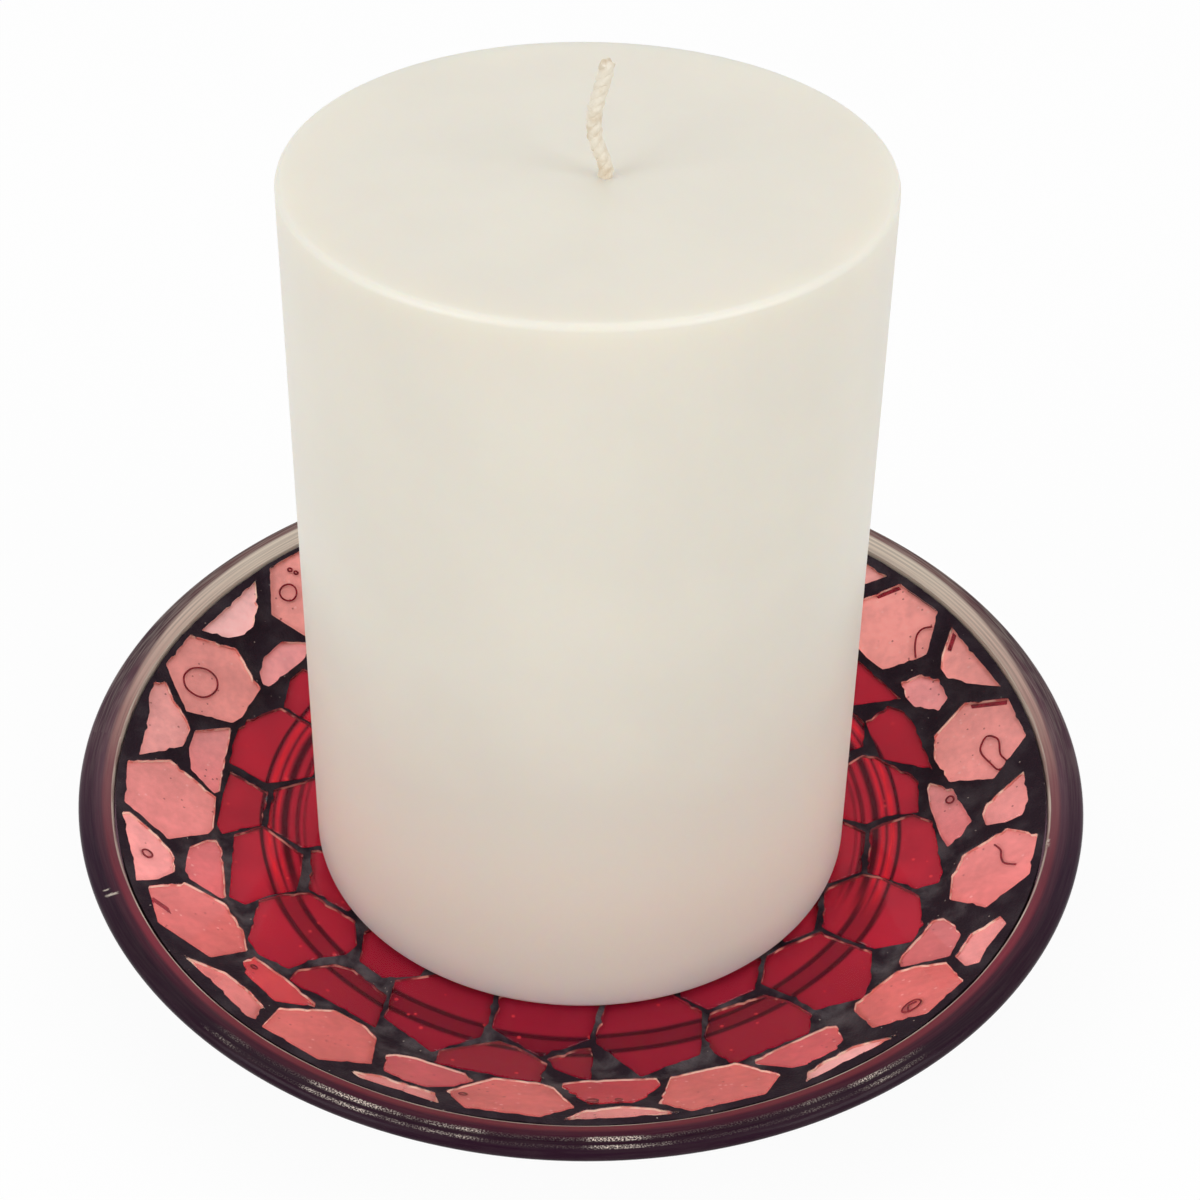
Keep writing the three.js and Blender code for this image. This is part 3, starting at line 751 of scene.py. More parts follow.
@dataclass(frozen=True)
class RedBacking(Finish):
    """The red back of a floor piece, with painted light and shade: the foot ring under it is painted as glinting
    and dark rings where the ring seen through the glass would show, and the red is painted darker towards the
    front.
    """

    colour: Colour = linear(192, 34, 55)
    deep: Colour = linear(142, 22, 44)
    # The bright and dark colours paint the foot ring's glints and dark lines.
    bright: Colour = linear(236, 36, 50)
    dark: Colour = linear(58, 4, 20)
    painted_glint: Colour = linear(236, 60, 66)
    depth_shift: float = 0.6 * MM
    inner_end: float = 39.0 * MM
    outer_end: float = 48.0 * MM
    side_glow: tuple[Ring, ...] = (Ring(44.05 * MM, 0.3 * MM, 0.7), Ring(45.35 * MM, 0.52 * MM))
    side_lines: tuple[Ring, ...] = (
        Ring(40.2 * MM, 0.35 * MM, 0.45), Ring(41.2 * MM, 0.5 * MM, 0.75), Ring(43.0 * MM, 0.8 * MM),
        Ring(44.6 * MM, 0.25 * MM, 0.7), Ring(46.35 * MM, 0.42 * MM),
    )
    front_lines: tuple[Ring, ...] = (Ring(43.75 * MM, 0.7 * MM), Ring(46.65 * MM, 0.7 * MM))
    front_shade: tuple[Ring, ...] = (Ring(45.2 * MM, 2.1 * MM, 0.45),)

    def rings(self, nodes: Nodes, span: Socket, rings: Sequence[Ring]) -> Socket:
        """Draws rings as grey values by the distance from the axis.

        Args:
            nodes: The adder of the material's nodes.
            span: The distance from the axis as a share of the painted width.
            rings: The rings from the inside out.

        Returns:
            The grey value.
        """
        width = self.outer_end - self.inner_end
        stops = []
        for ring in rings:
            grey = (ring.strength,) * 3
            for side, colour in ((-1.0, (0.0, 0.0, 0.0)), (-0.35, grey), (0.35, grey), (1.0, (0.0, 0.0, 0.0))):
                stops.append(((ring.radius + side * ring.half - self.inner_end) / width, colour))
        return nodes.ramp(span, stops)

    def paint(self, nodes: Nodes, shader: bpy.types.Node) -> Socket:
        """Mottles the red, darkens it towards the front as painted shade, and paints the foot ring's lines and
        glints over it by the distance from the axis.

        Args:
            nodes: Adds the material's nodes.
            shader: The main shader.

        Returns:
            The surface.
        """
        mottle = nodes.mottle(130.0, 0.3, 0.75)
        streak = nodes.streaks(6000.0, 14.0)
        place = nodes.around(0.35 * MM)
        # The painted rings shift with how far in front a point lies, as the foot ring would when seen through the
        # glass.
        shift = nodes.math("MULTIPLY_ADD", place["Front"], 2 * self.depth_shift, -self.depth_shift)
        span = nodes.add("ShaderNodeMapRange", {
            "Value": nodes.math("ADD", place["Radius"], shift),
            "From Min": self.inner_end,
            "From Max": self.outer_end,
        }).outputs["Result"]
        facing = nodes.span(place["Front"], 0.65, 0.76)
        front_rings = nodes.math(
            "MAXIMUM", self.rings(nodes, span, self.front_lines), self.rings(nodes, span, self.front_shade))
        lines = nodes.mix(facing, self.rings(nodes, span, self.side_lines), front_rings)
        glow = nodes.mix(facing, self.rings(nodes, span, self.side_glow), (0.0, 0.0, 0.0))
        tone = nodes.attribute("tone")
        # Painted shade: the red is darker towards the front.
        front = nodes.mix(nodes.span(place["Front"], 0.6, 1.0), self.colour, self.deep)
        even = nodes.mix(nodes.math("MULTIPLY", mottle, 0.5), front, self.deep)
        toned = nodes.mix(1.0, even, nodes.grey(tone), "MULTIPLY")
        broken = nodes.math("MULTIPLY_ADD", streak, 0.6, 0.3)
        glowing = nodes.mix(nodes.math("MULTIPLY", glow, broken), toned, self.bright)
        lined = nodes.mix(nodes.math("MULTIPLY", lines, 0.92), glowing, self.dark)
        # A few specks of painted glint.
        grit = nodes.grit(1100.0, 0.03)
        sparked = nodes.mix(nodes.math("MULTIPLY", grit["Specks"], 0.5), lined, self.painted_glint)
        nodes.feed(shader, {"Base Color": sparked, "Roughness": 0.4, "Specular IOR Level": 0.0})
        return shader.outputs["BSDF"]


@dataclass(frozen=True)
class Grout(Finish):
    """Dark sandy grout with a few pale grains."""

    dark: Colour = linear(42, 29, 38)
    dusty: Colour = linear(92, 84, 88)
    grain: Colour = linear(150, 136, 130)

    def paint(self, nodes: Nodes, shader: bpy.types.Node) -> Socket:
        """Mixes dust into the dark and roughens it.

        Args:
            nodes: Adds the material's nodes.
            shader: The main shader.

        Returns:
            The surface.
        """
        dust = nodes.mottle(240.0, 0.4, 0.72)
        grit = nodes.grit(2600.0, 0.008)
        place = nodes.around()
        inwards = nodes.span(place["Radius"], 62 * MM, 54 * MM)
        front = nodes.span(place["Front"], 0.3, 0.8)
        share = nodes.math("MAXIMUM", nodes.math("MULTIPLY", inwards, front), 0.25)
        dusted = nodes.mix(nodes.math("MULTIPLY", dust, share), self.dark, self.dusty)
        grained = nodes.mix(grit["Specks"], dusted, self.grain)
        nodes.feed(shader, {"Base Color": grained, "Roughness": 0.9, "Specular IOR Level": 0.12})
        nodes.bump(shader, grit["Height"], 0.12 * MM, 0.9)
        return shader.outputs["BSDF"]


@dataclass(frozen=True)
class Wax(Finish):
    """Poured cream wax, a little see-through, with painted bounce light that makes it warmer and lighter towards
    its foot.
    """

    colour: Colour = linear(233, 228, 215)
    painted_bounce: Colour = linear(253, 248, 232)
    cool_above: float = 46 * MM
    warm_below: float = 9 * MM
    depth: float = 7 * MM

    def paint(self, nodes: Nodes, shader: bpy.types.Node) -> Socket:
        """Paints bounce light by height, warmer and lighter towards the foot, with faint clouds and a soft skin.

        Args:
            nodes: Adds the material's nodes.
            shader: The main shader.

        Returns:
            The surface.
        """
        place = nodes.spot()
        height = nodes.add("ShaderNodeSeparateXYZ", {"Vector": place}).outputs["Z"]
        # Painted bounce light: the wax turns warmer and lighter below the set height.
        low = nodes.span(height, self.cool_above, self.warm_below)
        mottle = nodes.mottle(60.0, 0.3, 0.7)
        faint = nodes.math("MULTIPLY", mottle, 0.12)
        bounce_and_clouds = nodes.math("MAXIMUM", low, faint)
        nodes.feed(shader, {
            "Base Color": nodes.mix(bounce_and_clouds, self.colour, self.painted_bounce),
            "Roughness": 0.42,
            "Subsurface Weight": 0.6,
            "Subsurface Radius": (1.0, 0.7, 0.45),
            "Subsurface Scale": self.depth,
        })
        grit = nodes.grit(700.0, 0.02)
        nodes.bump(shader, grit["Height"], 0.02 * MM, 0.4)
        return shader.outputs["BSDF"]


@dataclass(frozen=True)
class Cotton(Finish):
    """Waxed cotton yarn."""

    colour: Colour = linear(236, 228, 212)
    shadow: Colour = linear(218, 202, 178)

    def paint(self, nodes: Nodes, shader: bpy.types.Node) -> Socket:
        """Adds fibres and a few patches of painted shade.

        Args:
            nodes: Adds the material's nodes.
            shader: The main shader.

        Returns:
            The surface.
        """
        patches = nodes.mottle(500.0, 0.4, 0.7)
        # Patches mixed towards a darker copy of the cotton: painted shade.
        nodes.feed(shader, {"Base Color": nodes.mix(patches, self.colour, self.shadow), "Roughness": 0.8})
        grit = nodes.grit(5000.0, 0.1)
        nodes.bump(shader, grit["Height"], 0.06 * MM, 0.8)
        return shader.outputs["BSDF"]


@dataclass(frozen=True)
class Tinplate(Finish):
    """Thin stamped tinplate with a rubbed surface."""

    colour: Colour = linear(196, 198, 202)
    dull: Colour = linear(150, 152, 156)

    def paint(self, nodes: Nodes, shader: bpy.types.Node) -> Socket:
        """Varies the colour and the roughness of the metal.

        Args:
            nodes: Adds the material's nodes.
            shader: The main shader.

        Returns:
            The surface.
        """
        mottle = nodes.mottle(350.0, 0.35, 0.7)
        rough = nodes.add("ShaderNodeMapRange", {"Value": mottle, "To Min": 0.25, "To Max": 0.45})
        nodes.feed(shader, {
            "Base Color": nodes.mix(mottle, self.colour, self.dull),
            "Metallic": 1.0,
            "Roughness": rough.outputs["Result"],
        })
        return shader.outputs["BSDF"]


@dataclass(frozen=True)
class SetGlue(Finish):
    """Glue that has taken up red, as thin beads and stains."""

    colour: Colour = linear(138, 22, 36)
    roughness: float = 0.4

    def paint(self, nodes: Nodes, shader: bpy.types.Node) -> Socket:
        """Varies the red a little.

        Args:
            nodes: Adds the material's nodes.
            shader: The main shader.

        Returns:
            The surface.
        """
        mottle = nodes.mottle(900.0, 0.35, 0.7)
        deep = tuple(part * 0.55 for part in self.colour)
        colour = nodes.mix(mottle, self.colour, deep)
        nodes.feed(shader, {"Base Color": colour, "Roughness": self.roughness, "Specular IOR Level": 0.05})
        return shader.outputs["BSDF"]


DISH_GLASS = DishGlass("dish_glass")
TILE_GLASS = ClearGlass("tile_glass", (0.99, 0.99, 0.99), (0.99, 0.99, 0.99), index=1.2, wave=0.03 * MM)
FILM_GLASS = ClearGlass("adhesive", (0.97, 0.95, 0.94), (0.95, 0.94, 0.93), roughness=0.12, index=1.42)
PINK_EDGE = CutEdge("cut_edge_pink")
RED_EDGE = CutEdge("cut_edge_red", pale=linear(214, 146, 130), stained=linear(128, 26, 42), share=0.36)
PINK_BACKING = Backing("pink_backing")
RED_BACKING = RedBacking("red_backing")
GROUT = Grout("sandy_grout")
WAX = Wax("cream_wax")
COTTON = Cotton("wick_cotton")
TINPLATE = Tinplate("sustainer_tinplate")
GLUE = SetGlue("set_glue")
STAIN = SetGlue("red_stain", colour=linear(150, 30, 46), roughness=0.5)
SHADES = {
    "inner_shard_01": 1.12, "inner_shard_02": 1.10, "inner_shard_08": 0.88, "inner_shard_09": 1.01,
    "inner_shard_10": 1.14, "pink_tile_04": 0.89, "pink_tile_09": 0.96, "pink_tile_11": 1.08,
    "rim_shard_01": 1.05, "rim_shard_03": 1.11, "rim_shard_09": 0.97, "rim_shard_10": 1.10,
}
PALENESS = {
    "rim_shard_01": 1.0, "rim_shard_04": 0.15, "rim_shard_09": 0.1, "rim_shard_10": 0.05, "inner_shard_08": 0.22,
}


def place_object(name: str, data: bpy.types.ID) -> bpy.types.Object:
    """Puts an object with the given data into the scene.

    Args:
        name: The object's name.
        data: Its mesh, curve, lamp or camera.

    Returns:
        The new object.
    """
    placed = bpy.data.objects.new(name, data)
    bpy.context.scene.collection.objects.link(placed)
    return placed


def add_object(name: str, mesh: bpy.types.Mesh, finishes: Sequence[Finish]) -> bpy.types.Object:
    """Puts a mesh into the scene.

    Args:
        name: The piece's name.
        mesh: Its mesh, already in place.
        finishes: The finishes of its material slots, in order.

    Returns:
        The new object.
    """
    for finish in finishes:
        mesh.materials.append(finish.material())
    return place_object(name, mesh)


def result_mesh(piece: bpy.types.Object) -> bpy.types.Mesh:
    """Copies the mesh that a piece's modifiers make, without its finishes.

    Args:
        piece: The piece.

    Returns:
        The new mesh.
    """
    graph = bpy.context.evaluated_depsgraph_get()
    mesh = bpy.data.meshes.new_from_object(piece.evaluated_get(graph))
    mesh.materials.clear()
    return mesh


def settle(piece: bpy.types.Object, body: str, nodes: Sequence[str] = ()) -> None:
    """Ties a finished piece to its body and the nodes that it stands for.

    Args:
        piece: The finished piece.
        body: The body that it moves with.
        nodes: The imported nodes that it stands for.
    """
    if nodes:
        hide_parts(*nodes)
    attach(piece, body)
    log.info("%s: %d faces on %s", piece.name, len(piece.data.polygons), body)


def mesh_from(name: str, build: Callable[[bmesh.types.BMesh], None], sharp: float = 30.0) -> bpy.types.Mesh:
    """Makes a mesh with a bmesh function.

    Args:
        name: The mesh's name.
        build: Fills the bmesh.
        sharp: The angle in degrees past which an edge stays sharp.

    Returns:
        The smooth-shaded mesh.
    """
    shape = bmesh.new()
    build(shape)
    mesh = bpy.data.meshes.new(name)
    shape.to_mesh(mesh)
    shape.free()
    mesh.shade_smooth()
    mesh.set_sharp_from_angle(angle=math.radians(sharp))
    return mesh


def lathe(name: str, profile: Profile, steps: int, sharp: float = 30.0) -> bpy.types.Mesh:
    """Turns a closed profile about the Z axis.

    Args:
        name: The mesh's name.
        profile: Points as radius and height. It closes on itself or along the axis.
        steps: How many steps go round.
        sharp: The angle in degrees past which an edge stays sharp.

    Returns:
        The closed mesh.
    """

    def build(shape: bmesh.types.BMesh) -> None:
        """Adds the rings and joins them.

        Args:
            shape: The bmesh that gets them.
        """
        rings = []
        for step in range(steps):
            angle = math.tau * step / steps
            turn = (math.cos(angle), math.sin(angle))
            rings.append([shape.verts.new((r * turn[0], r * turn[1], z)) for r, z in profile])
        for step, ring in enumerate(rings):
            following = rings[(step + 1) % steps]
            for index in range(len(profile)):
                after = (index + 1) % len(profile)
                if profile[index][0] == 0 and profile[after][0] == 0:
                    continue
                shape.faces.new((ring[index], following[index], following[after], ring[after]))
        bmesh.ops.remove_doubles(shape, verts=shape.verts, dist=1e-7)
        bmesh.ops.dissolve_degenerate(shape, dist=1e-8, edges=shape.edges)
        bmesh.ops.recalc_face_normals(shape, faces=shape.faces)

    return mesh_from(name, build, sharp)


def arc(centre: tuple[float, float], radius: float, start: float, end: float, steps: int) -> Profile:
    """Gives points of an arc in the profile plane.

    Args:
        centre: The arc's centre.
        radius: Its radius.
        start: The first angle in degrees.
        end: The last angle in degrees.
        steps: How many steps it takes.

    Returns:
        The points in order.
    """
    angles = [math.radians(start + (end - start) * step / steps) for step in range(steps + 1)]
    return [(centre[0] + radius * math.cos(a), centre[1] + radius * math.sin(a)) for a in angles]


@dataclass
class FlatPiece:
    """The top of a cut piece: a plane and the corners in it, anticlockwise from above."""

    origin: Vector
    across: Vector
    along: Vector
    up: Vector
    corners: list[Vector]
    outline: list[Vector] = field(default_factory=list)
    nipped: list[Vector] = field(default_factory=list)

    @classmethod
    def from_points(cls, points: Sequence[Vector], up: Vector) -> FlatPiece:
        """Makes one from the corners of a face.

        Args:
            points: The corners in order.
            up: The face's normal.

        Returns:
            The piece's plane and corners.
        """
        origin = sum(points, Vector()) / len(points)
        across = Vector((-origin.y, origin.x, 0.0))
        if across.length < MM:
            across = Vector((1.0, 0.0, 0.0))
        across = (across - up * across.dot(up)).normalized()
        along = up.cross(across)
        corners = [Vector(((p - origin).dot(across), (p - origin).dot(along))) for p in points]
        return cls(origin, across, along, up, corners, corners)

    def place(self, corner: Vector, lift: float) -> Vector:
        """Puts a point of the plane, lifted square to it, into the scene."""
        return self.origin + self.across * corner.x + self.along * corner.y + self.up * lift

    def under(self, plan: Vector) -> Vector:
        """Gives the point of the plane that lies over or under a point of the plan.

        Args:
            plan: The point in plan.

        Returns:
            The point in the plane.
        """
        away = plan - self.origin.xy
        height = self.origin.z - (self.up.x * away.x + self.up.y * away.y) / self.up.z
        arm = Vector((plan.x, plan.y, height)) - self.origin
        return Vector((arm.dot(self.across), arm.dot(self.along)))

    def holds(self, spot: Vector) -> bool:
        """Says whether a point of the plane lies inside the outline.

        Args:
            spot: The point.

        Returns:
            Whether it does.
        """
        inside = False
        for index, corner in enumerate(self.outline):
            before = self.outline[index - 1]
            if (corner.y > spot.y) != (before.y > spot.y):
                share = (spot.y - corner.y) / (before.y - corner.y)
                if spot.x < corner.x + share * (before.x - corner.x):
                    inside = not inside
        return inside

    def side_normals(self, corners: Sequence[Vector]) -> list[Vector]:
        """Gives the outward direction at each corner of an outline.

        Args:
            corners: The outline.

        Returns:
            One direction for each corner.
        """
        found = []
        for index, corner in enumerate(corners):
            before = (corner - corners[index - 1]).normalized()
            after = (corners[(index + 1) % len(corners)] - corner).normalized()
            out = Vector((before.y + after.y, -before.x - after.x))
            found.append(out / max(0.4, 1 + before.dot(after)))
        return found

    def moved(self, corners: Sequence[Vector], distance: float) -> list[Vector]:
        """Moves an outline outwards, or inwards where the distance is negative."""
        return [c + n * distance for c, n in zip(corners, self.side_normals(corners))]

    def spread(self, distances: Sequence[float]) -> list[Vector]:
        """Moves each side outwards by its own distance.

        Args:
            distances: How far each side moves. The first side starts at the first corner.

        Returns:
            The corners where the moved sides meet.
        """
        found = []
        for index, corner in enumerate(self.corners):
            before = (corner - self.corners[index - 1]).normalized()
            after = (self.corners[(index + 1) % len(self.corners)] - corner).normalized()
            first, second = distances[index - 1], distances[index]
            turn = before.x * after.y - before.y * after.x
            if abs(turn) < 0.15:
                out = Vector((before.y + after.y, -before.x - after.x)).normalized()
                step = out * (first + second) / 2
            else:
                step = (before * second - after * first) / turn
            longest = 2.2 * max(first, second)
            if step.length > longest:
                step *= longest / step.length
            found.append(corner + step)
        return found


def nearest_tree(points: Sequence[Sequence[float]]) -> kdtree.KDTree:
    """Makes the tree that finds the nearest of some points.

    Args:
        points: The points.

    Returns:
        The balanced tree.
    """
    tree = kdtree.KDTree(len(points))
    for index, spot in enumerate(points):
        tree.insert(spot, index)
    tree.balance()
    return tree


@dataclass
class JointFitter:
    """Cuts neighbouring pieces so that an even joint stays between them."""

    joint: float = 0.55 * MM
    most: float = 0.7 * MM
    least: float = 0.05 * MM
    spacing: float = 0.3 * MM
    spare: float = 0.12 * MM

    def side(self, flat: FlatPiece, index: int) -> list[Vector]:
        """Gives points along one side of a piece.

        Args:
            flat: The piece.
            index: The side's number.

        Returns:
            The points with both ends.
        """
        start, end = flat.corners[index], flat.corners[(index + 1) % len(flat.corners)]
        count = max(2, round((end - start).length / self.spacing))
        return [flat.place(start.lerp(end, step / count), 0.0) for step in range(count + 1)]

    def fit(self, flats: Sequence[FlatPiece], chosen: Sequence[bool]) -> None:
        """Grows the chosen pieces towards their neighbours.

        Args:
            flats: All pieces.
            chosen: Which of them grow.
        """
        points, owners = [], []
        for number, flat in enumerate(flats):
            for index in range(len(flat.corners)):
                for spot in self.side(flat, index):
                    points.append(spot)
                    owners.append(number)
        tree = nearest_tree(points)
        for number, flat in enumerate(flats):
            if not chosen[number]:
                continue
            distances = []
            for index in range(len(flat.corners)):
                gaps = []
                for spot in self.side(flat, index):
                    gaps.append(tree.find(spot, filter=lambda other: owners[other] != number)[2])
                gaps.sort()
                wanted = (gaps[len(gaps) // 3] - self.joint) / 2
                room = gaps[0] / 2 - self.spare
                distances.append(max(self.least, min(wanted, room, self.most)))
            flat.outline = flat.spread(distances)


@dataclass
class Chips:
    """How the cut sides of a piece wander and where they're chipped."""

    spacing: float = 0.8 * MM
    wander: float = 0.05 * MM
    corner_cut: float = 0.2 * MM
    chance: float = 0.18
    deepest: float = 0.32 * MM

    def outline(self, corners: Sequence[Vector], draw: random.Random) -> list[Vector]:
        """Cuts an outline as a hand-nipped piece.

        Args:
            corners: The exact corners.
            draw: The source of chance.

        Returns:
            The corners of the nipped outline, which stays inside the exact one.
        """
        nipped: list[Vector] = []
        for index, corner in enumerate(corners):
            after = corners[(index + 1) % len(corners)]
            side = after - corner
            length = side.length
            along = side / length
            inward = Vector((-along.y, along.x))
            cut = min(self.corner_cut, 0.25 * length)
            count = max(1, round((length - 2 * cut) / self.spacing))
            for step in range(count + 1):
                far = cut + (length - 2 * cut) * step / count
                depth = abs(draw.gauss(0.0, self.wander))
                if 0 < step < count and draw.random() < self.chance:
                    depth += draw.uniform(0.3, 1.0) * self.deepest
                nipped.append(corner + along * far + inward * depth)
        return nipped


class Tone(Enum):
    """The finishes of the two kinds of cut piece, as glass, edge and backing."""

    PINK = (TILE_GLASS, PINK_EDGE, PINK_BACKING)
    RED = (TILE_GLASS, RED_EDGE, RED_BACKING)


@dataclass
class Cut:
    """One kind of cut piece: its finishes, its shade and how pale and how low on the wall it is."""

    tone: Tone
    shade: float = 1.0
    low: float = 0.0
    pale: float = 0.0


@dataclass
class CutGlass:
    """Cuts glass pieces: clear glass over a coloured back, each a closed shell."""

    thickness: float = BOWL.tile_thickness
    clear: float = 0.8 * MM
    shown: float = 0.3 * MM
    seam: float = 0.02 * MM
    bevel: float = 0.1 * MM
    taper: float = 0.04 * MM
    chips: Chips = field(default_factory=Chips)

    def stack(
        self, shape: bmesh.types.BMesh, flat: FlatPiece, layers: Sequence[tuple[Sequence[Vector], float]],
        slots: Sequence[int],
    ) -> None:
        """Adds a closed shell from its outlines.

        Args:
            shape: The bmesh that gets it.
            flat: The piece's plane.
            layers: The outlines from the lowest up, each with its height over the plane.
            slots: The slots of the lowest face, of each side band upwards and of the top.
        """
        rings = [[shape.verts.new(flat.place(corner, lift)) for corner in corners] for corners, lift in layers]
        back = shape.faces.new(list(reversed(rings[0])))
        back.material_index = slots[0]
        for low, high, slot in zip(rings, rings[1:], slots[1:]):
            for index in range(len(low)):
                after = (index + 1) % len(low)
                face = shape.faces.new((low[index], low[after], high[after], high[index]))
                face.material_index = slot
        top = shape.faces.new(rings[-1])
        top.material_index = slots[-1]

    def add_to(self, shape: bmesh.types.BMesh, flat: FlatPiece, outline: Sequence[Vector]) -> None:
        """Adds the clear glass and the coloured back of one piece to a bmesh.

        Args:
            shape: The bmesh.
            flat: The piece's plane.
            outline: Its nipped outline in that plane.
        """
        foot = flat.moved(outline, -self.taper)
        inset = flat.moved(outline, -self.bevel)
        glass = [(foot, -self.clear), (outline, -self.shown), (outline, -self.bevel), (inset, 0.0)]
        self.stack(shape, flat, glass, (2, 1, 0, 0, 0))
        back = [(foot, -self.thickness), (foot, -self.clear - self.seam)]
        self.stack(shape, flat, back, (2, 2, 2))

    def piece(self, name: str, flats: Sequence[FlatPiece], cut: Cut, seed: int) -> bpy.types.Object:
        """Makes an object of one or more cut pieces.

        Args:
            name: The object's name.
            flats: The planes and outlines.
            cut: What kind of piece it is.
            seed: The seed of its chips.

        Returns:
            The new object.
        """
        draw = random.Random(seed)

        def build(shape: bmesh.types.BMesh) -> None:
            """Cuts each piece.

            Args:
                shape: The bmesh that gets them.
            """
            for flat in flats:
                flat.nipped = self.chips.outline(flat.outline, draw)
                self.add_to(shape, flat, flat.nipped)
            bmesh.ops.triangulate(shape, faces=[f for f in shape.faces if len(f.verts) > 4])

        mesh = mesh_from(name, build, 15.0)
        for label, value in (("tone", cut.shade), ("low", cut.low), ("pale", cut.pale)):
            layer = mesh.attributes.new(label, "FLOAT", "POINT")
            layer.data.foreach_set("value", [value] * len(mesh.vertices))
        return add_object(name, mesh, cut.tone.value)


def merged_copy(node: bpy.types.Object) -> bmesh.types.BMesh:
    """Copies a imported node's mesh with its corners merged and its flat faces whole.

    Args:
        node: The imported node.

    Returns:
        The copy.
    """
    shape = bmesh.new()
    shape.from_mesh(node.data)
    bmesh.ops.remove_doubles(shape, verts=shape.verts, dist=2e-6)
    bmesh.ops.dissolve_limit(shape, angle_limit=0.004, verts=shape.verts, edges=shape.edges)
    return shape


def flat_tops(node: bpy.types.Object) -> list[FlatPiece]:
    """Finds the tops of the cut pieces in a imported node.

    Args:
        node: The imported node.

    Returns:
        The top face of each piece.
    """
    shape = merged_copy(node)
    found = []
    for face in shape.faces:
        points = [corner.co.copy() for corner in face.verts]
        middle = face.calc_center_median()
        lowest = BOWL.height(math.hypot(middle.x, middle.y), BOWL.tile_thickness / 2)
        if face.normal.z > 0.75 and middle.z > lowest and face.calc_area() > 4 * MM * MM:
            found.append(FlatPiece.from_points(points, face.normal.copy()))
    shape.free()
    return found


@dataclass
class Mosaic:
    """The cut glass on the dish."""

    nodes: dict[str, bpy.types.Object]
    cutter: CutGlass = field(default_factory=CutGlass)
    fitter: JointFitter = field(default_factory=JointFitter)
    growth: float = 0.22 * MM
    flats: list[FlatPiece] = field(default_factory=list)

    def cut(self, name: str, seed: int) -> tuple[Cut, str]:
        """Chooses a piece's kind and its record slot.

        Args:
            name: The node's name.
            seed: The seed of its shade.

        Returns:
            The kind of piece and the slot's name.
        """
        number = int(name[-2:])
        shade = SHADES.get(name, random.Random(seed).uniform(0.96, 1.04))
        if name.startswith("red"):
            return Cut(Tone.RED, shade), "red_glass"
        if name.startswith("rim"):
            light = number % 3 == 1
            pale = PALENESS.get(name, 0.65 if light else 0.3)
            return Cut(Tone.PINK, shade, pale=pale), "pale_glass" if light else "pink_glass"
        if name.startswith("inner"):
            light = number % 2 == 1
            pale = PALENESS.get(name, 0.12 * light)
            return Cut(Tone.PINK, shade, low=1.0, pale=pale), "pale_glass" if light else "pink_glass"
        return Cut(Tone.PINK, shade), "pink_glass"

    def build(self) -> None:
        """Cuts every piece in its node's place."""
        names = sorted(name for name in self.nodes if "tile" in name or "shard" in name)
        places = {name: flat_tops(self.nodes[name]) for name in [*names, "red_piece_sheet"]}
        grows = []
        for name, flats in places.items():
            for flat in flats:
                flat.outline = flat.moved(flat.corners, self.growth)
                grows.append(name.startswith("red"))
            self.flats += flats
        self.fitter.fit(self.flats, grows)
        for seed, name in enumerate(names):
            cut, slot = self.cut(name, seed)
            settle(self.cutter.piece(f"cut_{name}", places[name], cut, seed), "dish", [name])
        small = self.cutter.piece("small_red_pieces", places["red_piece_sheet"], Cut(Tone.RED, 0.97), len(names))
        settle(small, "dish", ["red_piece_sheet"])
        log.info("mosaic of %d cut pieces", len(self.flats))


@dataclass
class AdhesiveFilm:
    """The clear glue under the cut glass."""

    steps: int = 120

    def build(self) -> None:
        """Lays the film on the dish."""
        under = BOWL.line(BOWL.film_bottom, 0.0, BOWL.field_radius)
        over = BOWL.line(BOWL.film_top, 0.0, BOWL.field_radius)
        mesh = lathe("adhesive_film", [*under, *reversed(over)], self.steps)
        settle(add_object("adhesive_film", mesh, [FILM_GLASS]), "dish")


